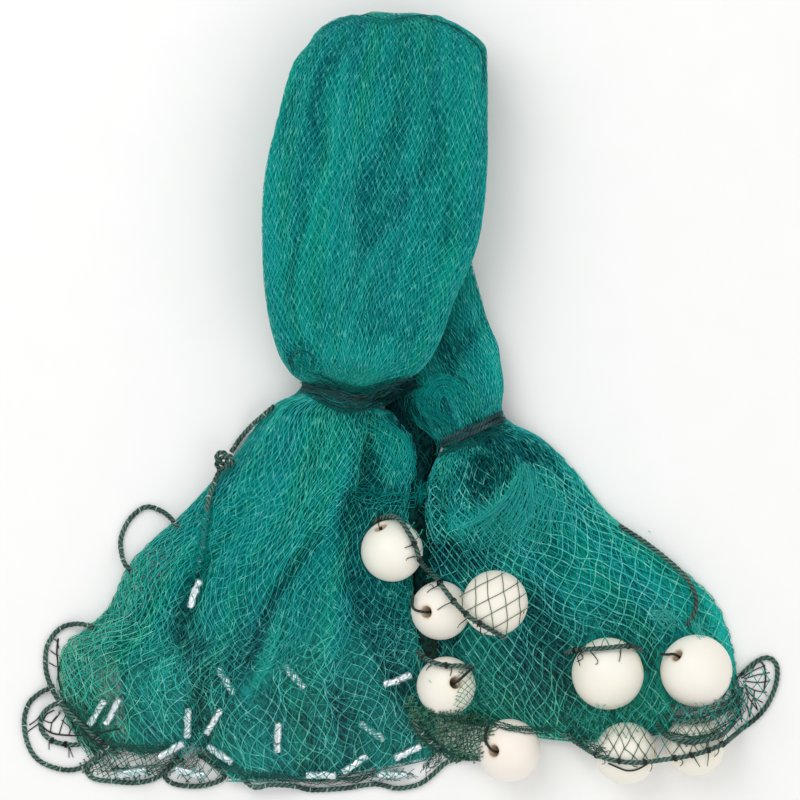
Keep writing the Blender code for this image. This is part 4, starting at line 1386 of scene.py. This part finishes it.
def twineFinish(name, dark, light):
    finish = Finish(name, Roughness=0.6, Specular_IOR_Level=0.3)
    return finish.paint(Base_Color=finish.mix(finish.noise(600.0, 2), dark, light))


ropeSurface = ropeFinish()
blackTwine = twineFinish("blackTwine", tone(18, 24, 24), tone(44, 52, 50))
paleTwine = twineFinish("paleTwine", tone(110, 150, 140), tone(190, 214, 204))


def layRopes():
    lines = {}
    for name in ropeRoutes:
        line = ropeLine(name)
        points, faces, out = laidRope(
            line, ropes["diameter"], ropes["twist"], ropes["strandSides"], ropes["step"]
        )
        made = meshPiece(name + "_laid", "rope", points, faces, [ropeSurface], name, out)
        evenlySpaced(line, 3.0)
        lines[name] = line
    print("ropes:", len(lines))
    return lines


ropeLines = layRopes()

# Thread whippings: pale stitches at even distances on the lead line, black ones with loose ends on the
# float line. The ends' points are given, from the rope outwards.
twine = {
    "paleThickness": 0.7,
    "paleSpacing": 15.0,
    "paleTurns": 0.42,
    "blackThickness": 0.95,
    "blackTurns": 2.2,
    "stepsPerTurn": 10,
    "turnSpacing": 1.05,  # from one turn to the next, against the thread's thickness
    "bedding": 0.2,
    "tailDrop": 6,
    "tailEnd": 0.55,
    "gap": 0.3,
    "step": 1.5,
    "ladderThickness": 0.8,
    "edgeThickness": 1.2,
}
twineEnds = [
    [(7.5, -99), (3, -100.5)],
    [(9, -107), (5, -108), (4, -109.5)],
    [(-15.5, -83), (-14.5, -88.5)],
    [(23.5, -128.5), (20.5, -130), (18.5, -132)],
    [(23.5, -128.5), (22, -126.5), (20, -127)],
    [(31, -140.5), (28.5, -142), (25.5, -144)],
    [(44, -151), (41.5, -153), (39.5, -156)],
    [(55.5, -158.5), (57.5, -161.5), (54, -160.5)],
    [(21.5, -182.5), (19, -184.5), (18, -186.5)],
    [(35.5, -184.5), (35.5, -187), (34.5, -190)],
    [(125.5, -174), (127, -177.5), (123, -180)],
    [(125.5, -174), (123.5, -177), (125, -182.5)],
    [(132.5, -173), (136, -177), (137.5, -180), (135.5, -181.5)],
    [(153.5, -171), (153, -175.5), (152, -179.5)],
    [(142.5, -248), (142.5, -251), (140.5, -251.5)],
    [(161.5, -250), (162, -252.5), (165.5, -253.5)],
    [(174, -249), (175.5, -253), (174, -257)],
    [(195.5, -247.5), (197, -251), (195, -253)],
    [(204, -244.5), (206, -249), (209, -253.5)],
    [(214.5, -244), (214.5, -248), (214, -253)],
    [(222, -241), (221.5, -244), (219, -246.5)],
    [(-246.5, -235.5), (-247.5, -239.5), (-247.5, -244)],
    [(-234, -238.5), (-232.5, -244), (-230.5, -249.5)],
    [(-234, -238.5), (-233.5, -244), (-233.5, -249.5)],
    [(-219.5, -238.5), (-217.5, -242.5), (-214.5, -246.5)],
    [(-208, -236), (-211, -239.5), (-212.5, -242.5)],
]
# the ladder of thin strands between a rope and the mesh
ladderStrands = [
    [(239, -192), (246, -185), (253.5, -180)],
    [(240.5, -193.5), (249, -188), (257, -184.5)],
    [(242, -194), (250, -191.5), (260, -189.5)],
    [(242.5, -195.5), (251.5, -196.5), (260, -195.5)],
    [(242, -198), (249.5, -202), (258, -203.5)],
    [(243, -200.5), (249, -207), (255, -210.5)],
    [(243, -203.5), (247.5, -210.5), (251.5, -216)],
    [(240.5, -207.5), (244, -213), (246, -221)],
    [(236, -211), (239, -216.5), (240.5, -224.5)],
    [(249, -207), (247.5, -210.5), (246, -221)],
    [(249.5, -202), (249, -207), (251.5, -216)],
    [(-251.5, -223), (-249, -219), (-244, -216)],
    [(-251.5, -223), (-245.5, -224.5), (-239.5, -217.5)],
    [(-246.5, -232), (-245.5, -225), (-242, -220)],
    [(-240.5, -233.5), (-238.5, -226.5), (-235.5, -219)],
    [(-234, -234), (-232.5, -228.5), (-238.5, -223)],
    [(-234, -234), (-230, -226.5), (-227, -221.5)],
    [(-228, -233.5), (-229, -228), (-232, -223)],
    [(-221.5, -232), (-224.5, -226.5), (-226.5, -223)],
    [(-263, -231.5), (-257, -227), (-252.5, -223.5)],
    [(-261.5, -226.5), (-256.5, -223), (-253.5, -219)],
    [(-244.5, -165.5), (-242, -167.5), (-240.5, -172.5)],
    [(-246.5, -174), (-244, -176), (-241, -177.5)],
    [(-247.5, -182.5), (-244, -184.5), (-242, -185)],
]
# the doubled edge strand that runs inside some loops
edgeStrands = [
    [(236, -194), (242, -188), (247.5, -183), (252.5, -181.5), (256, -185), (257, -193.5), (256, -202)],
    [
        (-253.5, -223), (-251.5, -228), (-245.5, -232), (-237, -233.5), (-227, -233.5), (-217.5, -232),
        (-207.5, -230.5), (-198, -228.5),
    ],
    [(-241, -165.5), (-242, -174), (-241, -184), (-240.5, -193.5), (-238.5, -202)],
    [(145, -251), (151, -253.5), (158, -256), (165.5, -255), (173, -251)],
]


# a thin strand that lies on what is under its points, starting at a rope's side
def lying(points, thickness):
    line = evenlySpaced(points, twine["step"])
    height = terrain.at(line[:, 0], line[:, 1], thickness * 0.5) + thickness / 2 + twine["gap"]
    return np.column_stack([line, height])


def lowTube(line, radius, sides=5):
    return tubesOf(np.asarray(line)[None], radius, sides)


def whipping(line, share, turns, thickness, lean=0.0):
    lengths = reachOf(line)
    turned = np.arange(int(turns * twine["stepsPerTurn"]) + 1) / twine["stepsPerTurn"]
    along = share * lengths[-1] + (turned - turns / 2) * thickness * twine["turnSpacing"]
    middle = pointsAt(line, lengths, along)
    across, up = squareTo(unit(pointsAt(line, lengths, along + 0.5) - middle), (0, 0, 1.0))
    ring = ringOf(across, up, turned * 2 * math.pi + math.pi * (0.5 - turns) + lean)
    coil = middle + ring * (ropes["diameter"] / 2 + thickness * twine["bedding"])
    coil[:, 2] = np.maximum(coil[:, 2], thickness / 2 + 0.02)
    return coil


# the rope point nearest to a place: its rope's line, and its number on that line
def nearestRope(spot):
    found = []
    for line in ropeLines.values():
        away = np.linalg.norm(line[:, :2] - spot, axis=1)
        found.append((away.min(), len(found), line, away.argmin()))
    return min(found)[2:]


def paleWhippings():
    lots = []
    for name, line in ropeLines.items():
        if name in overFloats or name == "shoulder_line":
            continue
        count = max(1, round(reachOf(line)[-1] / twine["paleSpacing"]))
        for k in range(count):
            share = (k + 0.5 + 0.22 * math.sin(k * 2.3 + len(name))) / count
            lean = 0.9 * math.sin(k * 4.1 + len(name))
            coil = whipping(line, share, twine["paleTurns"], twine["paleThickness"], lean)
            lots.append(lowTube(coil, twine["paleThickness"] / 2))
    return joined(lots)


def blackWhippings():
    thickness = twine["blackThickness"]
    lots = []
    for end in twineEnds:
        line, nearest = nearestRope(end[0])
        coil = whipping(line, nearest / (len(line) - 1), twine["blackTurns"], thickness)
        tail = lying([tuple(line[nearest][:2])] + end, thickness)
        least = line[nearest][2] + np.linspace(0, -twine["tailDrop"], len(tail))
        tail[:, 2] = np.maximum(tail[:, 2], least)
        lots.append(lowTube(coil, thickness / 2))
        lots.append(lowTube(tail, thickness / 2 * np.linspace(1, twine["tailEnd"], len(tail))[None]))
    return joined(lots)


def edgeThreads():
    lots = []
    for routes, kind in ((ladderStrands, "ladderThickness"), (edgeStrands, "edgeThickness")):
        lots += [lowTube(lying(route, twine[kind]), twine[kind] / 2) for route in routes]
    return joined(lots)


meshPiece("whippings_pale", "thread", *paleWhippings(), [paleTwine])
meshPiece("whippings_black", "thread", *blackWhippings(), [blackTwine])
meshPiece("edge_strands", "thread", *edgeThreads(), [blackTwine])

# Floats: smooth balls with a hole, darker wood inside it, painted lighter deep in the hole as painted light
# against the hole's shade.
floatLook = {"sides": 64, "rings": 40, "hole": 8.2, "edge": 1.9, "edgeSteps": 6}


def floatFinish():
    finish = Finish("floatIvory", Roughness=0.42, Specular_IOR_Level=0.35)
    hole = finish.attribute("hole")
    cloud = finish.noise(22.0, 3)
    blush = finish.noise(11.0, 1)
    grain = finish.noise(160.0, 3)
    color = finish.mix(cloud.rising(0.3, 0.75), tone(243, 239, 224), tone(247, 244, 235))
    color = finish.mix(blush.rising(0.5, 0.75) * 0.3, color, tone(246, 224, 210))
    color = finish.mix(hole.rising(0.25, 0.8) * 0.5, color, tone(232, 206, 176))
    # deep in the hole a lighter tan: painted light against the hole's shade
    color = finish.mix(hole.rising(0.75, 1.0), color, tone(255, 216, 160))
    finish.bump(grain * 0.6 + cloud, 0.12, 0.0006)
    return finish.paint(Base_Color=color)


# the outline that is turned round the hole's axis to make a ball float, as distances from the axis and along
# it, and how far along it the hole's mouth is
def floatOutline(radius, hole, edge):
    top = math.acos((hole + edge) / radius)
    angles = [top - 2 * top * k / floatLook["rings"] for k in range(floatLook["rings"] + 1)]
    outline = [(radius * math.cos(angle), radius * math.sin(angle)) for angle in angles]
    mouth = radius * math.sin(top)
    for end in (-1, 1):
        turn = [
            (hole + edge - edge * math.sin(t), end * (mouth - edge + edge * math.cos(t)))
            for t in np.linspace(0.2, math.pi / 2, floatLook["edgeSteps"])
        ]
        outline += turn if end < 0 else turn[::-1]
    return np.array(outline), mouth


def makeFloat(number, ball, finish):
    hole = floatLook["hole"] / 2
    outline, mouth = floatOutline(ball.diameter / 2, hole, floatLook["edge"])
    axis = unit(np.array(ball.hole, float))
    across, down = squareTo(axis, (0.31, 0.21, 0.93))
    ring = ringOf(across, -down, fullTurn(floatLook["sides"]))
    off = (outline[:, None, :1] * ring + outline[:, None, 1:] * axis).reshape(-1, 3)
    faces = gridFaces(len(outline), len(ring))[..., ::-1]
    name = f"float_{number}"
    made = meshPiece(f"float_ball_{number}", "float", off + ball[:3], faces, [finish], name)
    # the wood is darker in the hole, and a little round its mouth; deep in the hole the tan is painted
    # lighter, painted light against the hole's shade
    height = np.abs(off @ axis)
    wide = np.linalg.norm(off - (off @ axis)[:, None] * axis, axis=1)
    inside = np.clip((mouth - height) / 5, 0, 1) * (wide < hole + floatLook["edge"] * 0.9)
    near = np.exp(-(((wide - hole) / 4.0) ** 2))
    mark(made, "hole", np.clip(near * 0.62 + inside * 0.5, 0, 1))


ivory = floatFinish()
for number, ball in enumerate(balls, 1):
    makeFloat(number, ball, ivory)
print("floats:", len(balls))


# The floats' thin cords: four have a tail that shows.
floatCord = {"thickness": 2.0, "within": 1.4}
cordTails = {
    2: [(-19, 2, 14), (-19, 11, 9)],
    4: [(12, 8, 19), (18, 13, 11)],
    5: [(-17, 9, 15), (-15, 17, 7)],
    7: [(-20.5, 12, 14), (-25.5, 12, 10)],
}


def makeFloatCord(number, ball):
    middle = np.array(ball[:3])
    reach = unit(np.array(ball.hole, float)) * (ball.diameter / 2 - floatCord["within"])
    points = [middle - reach, middle - reach / 2, middle, middle + reach]
    points += [middle + np.array(tail) for tail in cordTails.get(number, [])]
    line = evenlySpaced(points, twine["step"])
    tube, faces = lowTube(line, floatCord["thickness"] / 2, 10)
    name = f"float_cord_{number}"
    made = meshPiece(name + "_line", "thread", tube, faces, [blackTwine], name)


for number, ball in enumerate(balls, 1):
    makeFloatCord(number, ball)

# Sinkers: sleeves of soft lead, dented and bright.
sinkerLook = {
    "count": 18, "length": 21, "diameter": 5.6, "bore": 2.6, "sides": 18, "rings": 26, "dent": 0.75,
    "wear": 0.25, "endWear": 0.35,
}


def sinkerFinish():
    finish = Finish("brightLead", Metallic=0.75)
    scratches = finish.streaks(finish.inObject(), (900.0, 300.0, 500.0), 2)
    marks = finish.noise(330.0, 2).rising(0.58, 0.66)
    color = finish.mix(scratches, tone(198, 214, 220), tone(246, 250, 252))
    color = finish.mix(marks * 0.75, color, tone(58, 84, 88))
    finish.bump(finish.noise(210.0, 3), 0.7, 0.001)
    return finish.paint(Base_Color=color, Roughness=scratches * 0.25 + 0.18)


# a sleeve where the frame has it, and its middle and axis
def makeSinker(number, finish):
    name = f"sinker_{number:02d}"
    corners = np.array([v.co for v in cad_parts[name].data.vertices]) / mm - place
    middle = corners.mean(0)
    axis = np.linalg.svd(corners - middle)[2][0]
    across, up = squareTo(axis, (0, 0, 1.0))
    up = up if up[2] > 0 else -up
    turns = fullTurn(sinkerLook["sides"])
    ring = ringOf(across, up, turns)
    half = sinkerLook["length"] / 2
    rows, columns = np.meshgrid(np.linspace(-1, 1, sinkerLook["rings"]), turns, indexing="ij")
    dents = drift(columns * 1.1 + number * 7, rows * 4 + number * 3, 500 + number)
    folds = drift(columns * 0 + 3, rows * 7 + number, 540 + number)
    wide = sinkerLook["diameter"] / 2 + (dents * 1.5 + folds * 0.6) * sinkerLook["dent"] - sinkerLook["wear"]
    wide[[0, -1]] -= sinkerLook["endWear"]
    outer = middle + ring[None] * wide[..., None] + axis * (rows * half)[..., None]
    inner = middle + ring[None] * sinkerLook["bore"] / 2 + axis * (rows[::-1] * half * 0.995)[..., None]
    points = np.concatenate([outer, inner[[0, -1]]])
    meshPiece(name + "_sleeve", "sinker", points, gridFaces(*points.shape[:2]), [finish], name)
    return middle, axis


# strands that cross each sinker and the rope's tail
veils = {
    "reach": 6.5, "thickness": 0.55, "most": 26, "some": 8, "few": 2, "tail": 44, "tailRadius": 2.2,
    "tailBelow": -72,
}
veiled = {
    "most": [9, 10, 12], "some": [2, 4, 6, 8, 13, 14, 15, 18], "few": [1, 3, 5, 7, 11, 16, 17],
}


def veilOver(line, radius, count, seed):
    draw = np.random.default_rng(900 + seed)
    line = evenlySpaced(line, 0.7)
    ahead = unit(np.gradient(line[:, :2], axis=0))
    share = np.linspace(-1, 1, 13)
    runs = []
    for k in range(count):
        at = int((k + draw.uniform(0.1, 0.9)) / count * (len(line) - 1))
        turn = math.radians(draw.choice([-1, 1]) * draw.uniform(30, 62))
        along = ahead[at]
        way = along * math.cos(turn) + np.array((-along[1], along[0])) * math.sin(turn)
        bend = draw.uniform(-1.2, 1.2) * (1 - share**2)
        flat = line[at, :2] + way * (share * veils["reach"])[:, None] + along * bend[:, None]
        away = np.linalg.norm(flat[:, None] - line[None, :, :2], axis=2)
        aside = away.min(1)
        over = line[away.argmin(1), 2] + np.sqrt(np.maximum(radius**2 - aside**2, 0))
        top = np.maximum(np.where(aside < radius, over, 0), terrain.at(flat[:, 0], flat[:, 1], 0.4))
        runs.append(np.column_stack([flat, np.maximum(top + 0.35 - 0.9 * share**4, 0.3)]))
    return tubesOf(runs, veils["thickness"] / 2, 3, True)


def randomRelief(seed, count, reach):
    return np.random.default_rng(seed).random(count) * reach + 0.3


brightLead = sinkerFinish()
sinkerPlaces = {number: makeSinker(number, brightLead) for number in range(1, sinkerLook["count"] + 1)}
print("sinkers:", len(sinkerPlaces))
lots = []
for amount, numbers in veiled.items():
    for number in numbers:
        middle, axis = sinkerPlaces[number]
        half = axis * (sinkerLook["length"] / 2 + 1)
        ends = [middle - half, middle + half]
        lots.append(veilOver(ends, sinkerLook["diameter"] / 2, veils[amount], number))
tail = ropeLines["side_line_tail"]
lots.append(veilOver(tail[tail[:, 1] < veils["tailBelow"]], veils["tailRadius"], veils["tail"], 30))
points, faces = joined(lots)
meshPiece(
    "netting_veils", "net", points, faces, [strandFinishes["middle"]],
    shadeAndTone=randomRelief(6, len(points), 0.5),
)

# Netting that hangs over floats and ropes: a lattice of two strand directions, cut to an outline, lifted
# clear of what is under it and pulled taut between. Its knots stray, and fine mesh has a ragged edge.
draping = {"gap": 0.6, "stray": 3.4, "ragged": 6, "passes": 60, "sag": 0.25, "bend": 1.2}
Drape = namedtuple("Drape", "name start stepA stepB countA countB outline seed strand fine finish")
pocketOutline = [
    (4, -206), (14, -214), (28, -217), (52, -219), (66, -224), (60, -232), (54, -239), (55, -248),
    (38, -249), (27, -244), (16, -237), (8, -228),
]
drapes = table(Drape, [
    (
        "over_float_3", (62, -134.5), (9.5, 5.6), (0.9, -11.2), (-6, 8), (-6, 7),
        [
            (42, -131), (46, -121), (55, -115), (68, -113), (80, -117), (88, -127), (91, -140), (87, -153),
            (78, -162), (68, -165), (56, -158), (47, -148), (41, -140),
        ], 1, 0.55, False, "coarse",
    ),
    (
        "over_hem", (157, -239), (4.7, 7.2), (4.7, -7.2), (-12, 20), (-12, 20),
        [
            (110, -226), (118, -216), (128, -211), (146, -214), (168, -213), (186, -210), (207, -213),
            (224, -209), (236, -200), (246, -188), (256, -185), (261, -198), (254, -214), (243, -226),
            (227, -236), (208, -244), (186, -248), (161, -250), (139, -246), (124, -239),
        ], 2, 0.6, False, "coarse",
    ),
    (
        "over_float_6", (144, -164), (5.6, 10), (5.6, -10), (-7, 7), (-7, 7),
        [
            (112, -160), (126, -150), (150, -148), (172, -155), (178, -170), (173, -173), (162, -169),
            (146, -168.5), (130, -170.5), (118, -175.5),
        ], 3, 0.62, False, "coarse",
    ),
    (
        "over_float_4", (47, -193), (1.9, 2.6), (2.4, -1.8), (-14, 14), (-14, 14),
        [(43, -187), (48, -181), (57, -180), (62, -196), (57, -212), (46, -218), (39, -211), (43, -197)],
        4, 0.4, True, "fine",
    ),
    (
        "over_float_1", (12, -92), (5, 6.5), (5, -6.5), (-5, 5), (-5, 5),
        [(0, -81), (8, -82), (20, -92), (22, -106), (19, -114), (14, -105), (9, -94)],
        5, 0.62, False, "coarse",
    ),
    (
        "over_hem_fine", (168, -224), (2.7, 3.9), (2.9, -4.3), (-34, 34), (-34, 34),
        [
            (111, -226), (118, -216), (128, -212), (146, -216), (168, -216), (186, -213), (207, -216),
            (224, -212), (236, -202), (242, -206), (240, -216), (228, -228), (208, -235), (190, -236),
            (179, -231), (166, -228), (150, -228), (138, -233), (124, -233),
        ], 8, 0.5, True, "fine",
    ),
    # thin mesh on the floor in the left hem's bay, and between the fans
    (
        "bay_1", (-190, -254), (3.0, 1.9), (1.1, -3.4), (-24, 34), (-24, 24),
        [
            (-224, -252), (-214, -243), (-200, -241), (-186, -244), (-172, -243), (-158, -242), (-150, -246),
            (-158, -254), (-170, -261), (-186, -265), (-204, -264), (-216, -260),
        ], 9, 0.5, True, "floor",
    ),
    (
        "bay_2", (-140, -256), (4.6, 5.2), (4.4, -5.6), (-12, 12), (-12, 12),
        [(-152, -240), (-139, -241), (-128, -252), (-124, -262), (-138, -267), (-156, -266), (-160, -256)],
        10, 0.5, False, "floor",
    ),
    (
        "pocket_1", (34, -232), (2.6, 1.5), (0.7, -3.0), (-16, 20), (-16, 16),
        pocketOutline, 6, 0.7, True, "floor",
    ),
    (
        "pocket_2", (34, -232), (3.1, 0.4), (-1.2, -2.7), (-18, 20), (-16, 16),
        pocketOutline, 7, 0.7, True, "floor",
    ),
])


# the heights of a sheet that is pulled taut over what it rests on
def pulledTaut(rest):
    height = rest
    for _ in range(draping["passes"]):
        padded = np.pad(height, 1, "edge")
        mean = (padded[2:, 1:-1] + padded[:-2, 1:-1] + padded[1:-1, 2:] + padded[1:-1, :-2]) / 4
        height = np.maximum(rest, mean - draping["sag"])
    return height


# a strand from one knot to the next; one that leaves the outline stops there, but on fine mesh it doesn't
def drapedStrands(drape, start, end):
    fine = np.linspace(0, 1, 21)[:, None]
    within = insideOutline(*np.moveaxis((start * (1 - fine) + end * fine)[..., :2], -1, 0), drape.outline)
    reach = np.cumprod(within | drape.fine, axis=1).sum(1)[:, None, None] / 21
    end = start * (1 - reach) + end * reach
    share = np.linspace(0, 1, 6)[:, None]
    line = start * (1 - share) + end * share
    bend = drift(start[..., :2].sum(-1) / 5, end[..., 0] / 5, 9)[..., None] * np.sin(math.pi * share)
    line[..., 0] += bend[..., 0] * draping["bend"]
    line[..., 2] = np.maximum(line[..., 2], terrain.at(line[..., 0], line[..., 1], 0.3) + draping["gap"])
    return line


def drapedMesh(drape):
    i, j = np.meshgrid(np.arange(*drape.countA), np.arange(*drape.countB), indexing="ij")
    flat = np.array(drape.start) + i[..., None] * np.array(drape.stepA) + j[..., None] * np.array(drape.stepB)
    stray = [drift(i * 0.6 + 20, j * 0.6 + 20, seed + drape.seed) for seed in (700, 720)]
    flat = flat + np.stack(stray, -1) * draping["stray"]
    height = pulledTaut(terrain.at(flat[..., 0], flat[..., 1], 0.8) + draping["gap"])
    knots = np.concatenate([flat, height[..., None]], -1)
    ragged = flat + np.stack(stray[::-1], -1) * (draping["ragged"] if drape.fine else 0)
    kept = insideOutline(ragged[..., 0], ragged[..., 1], drape.outline)
    runs = []
    for a, b, keptA, keptB in (
        (knots[:-1], knots[1:], kept[:-1], kept[1:]),
        (knots[:, :-1], knots[:, 1:], kept[:, :-1], kept[:, 1:]),
    ):
        # a strand starts at a knot that is kept
        either = keptA | keptB
        start = np.where(keptA[..., None], a, b)[either][:, None]
        end = np.where(keptA[..., None], b, a)[either][:, None]
        runs.append(drapedStrands(drape, start, end))
    runs = np.concatenate(runs)
    ends = np.concatenate([runs[:, 0], runs[:, -1]])
    ends = ends[np.unique(np.round(ends, 2), axis=0, return_index=True)[1]]
    lumps = ends[:, None] + np.array([(-0.7, -0.3, 0), (0, 0, 0.15), (0.7, 0.3, 0)])
    wide = np.array([[0.25, drape.strand * (0.6 if drape.fine else 0.85), 0.25]])
    return joined([tubesOf(runs, drape.strand / 2, 4), tubesOf(lumps, wide, 4)])


# dark where it crosses a float, and like the rest of the mesh beside it
def overFinish(name, low, high, lowBeside, highBeside):
    finish = Finish(name, Roughness=0.5, Specular_IOR_Level=0.07)
    grain = finish.noise(260.0, 2).rising(0.3, 0.7)
    beside = finish.mix(grain, tone(*lowBeside), tone(*highBeside))
    crossing = finish.mix(grain, tone(*low), tone(*high))
    return finish.paint(Base_Color=finish.mix(finish.attribute("shadeAndTone"), beside, crossing))


drapeFinishes = {
    "coarse": overFinish("meshOver", (62, 84, 72), (104, 126, 110), (10, 88, 82), (60, 176, 160)),
    "fine": overFinish("meshOverFine", (70, 128, 112), (150, 196, 178), (10, 88, 82), (60, 176, 160)),
    "floor": overFinish("meshPocket", (60, 90, 76), (110, 140, 120), (28, 80, 66), (92, 150, 122)),
}
for drape in drapes:
    points, faces = drapedMesh(drape)
    onFloat = np.zeros(len(points))
    for ball in balls:
        away = np.linalg.norm(points[:, :2] - (ball.x, ball.y), axis=1)
        onFloat = np.maximum(onFloat, np.clip(ball.diameter / 2 - away, 0, 1))
    meshPiece("netting_" + drape.name, "net", points, faces, [drapeFinishes[drape.finish]], shadeAndTone=onFloat)
print("drapes:", len(drapes))

bunchNames = {
    "dark": "hem", "slate": "waist", "middle": "swirl_low", "light": "swirl_high", "deep": "hollow",
    "bright": "frayed", "black": "nook_shadow",
}
for finishName, name in bunchNames.items():
    lots = [bunchedMesh(bunch, k) for k, bunch in enumerate(bunches) if bunch.finish == finishName]
    lots += [fannedMesh(fan, k) for k, fan in enumerate(fans) if fan.finish == finishName]
    points, faces = joined(lots)
    shadeAndTone = randomRelief(5, len(points), 0.6)
    meshPiece("netting_bunch_" + name, "net", points, faces, [strandFinishes[finishName]], shadeAndTone=shadeAndTone)
print("bunches:", len(bunches), "and fans:", len(fans))

# the short bright bits are painted glints, light all over
points, faces = glintMesh()
worn = [strandFinishes["worn"]]
meshPiece("netting_worn_ends", "net", points, faces, worn, shadeAndTone=np.full(len(points), 0.8))

# The side line's knot, and the ties: bunched cords round each waist.
knot = {
    "x": -124, "y": -40, "radius": 4.1, "depth": 2.1, "rope": 3.6, "twist": 11.0, "step": 1.0, "points": 120,
}


def makeKnot():
    reach = knot["radius"] + knot["depth"] + knot["rope"] / 2
    rest = float(terrain.at(knot["x"], knot["y"], reach))
    turn = np.linspace(0, 2 * math.pi, knot["points"] + 1)
    radius = knot["radius"] + knot["depth"] * np.cos(3 * turn)
    height = rest + knot["depth"] + knot["rope"] / 2 + ropes["restGap"] + knot["depth"] * np.sin(3 * turn)
    line = np.column_stack([
        knot["x"] + radius * np.cos(2 * turn), knot["y"] + radius * np.sin(2 * turn), height,
    ])
    points, faces, out = laidRope(line, knot["rope"], knot["twist"], ropes["strandSides"], knot["step"])
    made = meshPiece("side_knot_laid", "rope", points, faces, [ropeSurface], "side_knot", out)
    evenlySpaced(line[:-1], 2.0)


makeKnot()


def tieFinish():
    finish = Finish("tieSlate", Roughness=0.55, Specular_IOR_Level=0.3)
    color = finish.mix(finish.noise(90.0, 3).rising(0.35, 0.75), tone(22, 50, 54), tone(60, 92, 94))
    # darker in the grooves between each cord's strands: painted shade
    grooveShade = finish.attribute("shadeAndTone").rising(0.3, 0.95)
    return finish.paint(Base_Color=finish.mix(grooveShade, tone(5, 16, 20), color))


# the cords of each tie: their row of the hank, how thick they are, how far each strays, and its seed
tieLook = {"gap": 1.2, "bite": 3.6, "twist": 2.6, "sides": 6, "step": 1.2, "points": 141}
Turn = namedtuple("Turn", "row thickness stray seed")
tieTurns = {
    "tie_left_1": [(9.28, 3.2, 0.3, 1), (9.36, 2.2, 1.8, 2), (9.50, 2.4, 2.6, 3)],
    "tie_left_2": [(9.84, 3.2, 0.3, 4), (9.72, 2.4, 2.2, 5), (9.95, 2.0, 1.6, 6)],
    "tie_right_1": [(28.2, 3.4, 0.2, 7)],
    "tie_right_2": [(28.8, 3.4, 0.2, 8)],
}


# a cord all round the hank, which bites into its edges
def tieCord(one):
    around = np.linspace(0, 2, tieLook["points"])
    stray = drift(around * 3, around * 0, 800 + one.seed) * 2 * one.stray * np.sin(math.pi * around / 2) ** 2
    points, normals = hank.at(around, hank.alongAt(one.row) + stray)
    uneven = (unevenness(around * 4, around * 0 + 5, 820 + one.seed) - 0.3) * one.stray * 0.5
    bite = tieLook["bite"] * np.abs(np.cos(math.pi * around)) ** 6
    line = points + normals * (tieLook["gap"] + one.thickness / 2 + uneven - bite)[:, None]
    line[:, 2] = np.maximum(line[:, 2], one.thickness / 2 + 0.1)
    twist = one.thickness * tieLook["twist"]
    return laidRope(line, one.thickness, twist, tieLook["sides"], tieLook["step"])


tieSurface = tieFinish()
for name, turns in tieTurns.items():
    cords = [tieCord(one) for one in table(Turn, turns)]
    points, faces = joined([cord[:2] for cord in cords])
    out = np.concatenate([cord[2] for cord in cords])
    meshPiece(name + "_cords", "tie", points, faces, [tieSurface], name, out)
print("ties:", len(tieTurns))


# The camera looks straight down from far off, so that heights change the outline little.
view = {"middle": (2.15, -0.55), "width": 560, "far": 4000, "height": 25, "sensor": 36}
camera = bpy.data.objects.new("camera", bpy.data.cameras.new("camera"))
camera.location = Vector((*view["middle"], view["far"] + view["height"])) * mm
camera.data.sensor_width = view["sensor"]
camera.data.lens = view["sensor"] * view["far"] / view["width"]
camera.data.clip_end = 20
bpy.context.scene.collection.objects.link(camera)
bpy.context.scene.camera = camera
bpy.context.scene.view_settings.view_transform = "Standard"


def floorFinish():
    finish = Finish("paleFloor", Roughness=0.9)
    grain = finish.noise(30.0, 3)
    return finish.paint(Base_Color=finish.mix(grain, tone(244, 244, 243), tone(248, 248, 247)))


# the lamps: where each is, how wide and how strong
lamps = {"key": ((-0.7, 0.9, 1.6), 1.4, 13), "fill": ((1.0, -0.9, 1.5), 1.6, 6)}


def studio():
    bpy.ops.mesh.primitive_plane_add(size=6, location=(0, 0, 0))
    floor = bpy.context.object
    floor.name = "floor"
    floor.data.materials.append(floorFinish())
    world = bpy.data.worlds.new("studio")
    world.use_nodes = True
    sky = world.node_tree.nodes["Background"].inputs
    sky["Color"].default_value = (1, 1, 1, 1)
    sky["Strength"].default_value = 0.75
    bpy.context.scene.world = world
    for name, (at, size, power) in lamps.items():
        lamp = bpy.data.objects.new(name, bpy.data.lights.new(name, "AREA"))
        lamp.data.size = size
        lamp.data.energy = power
        lamp.location = at
        lamp.rotation_euler = (Vector(at) * -1).to_track_quat("-Z", "Y").to_euler()
        bpy.context.scene.collection.objects.link(lamp)


studio()
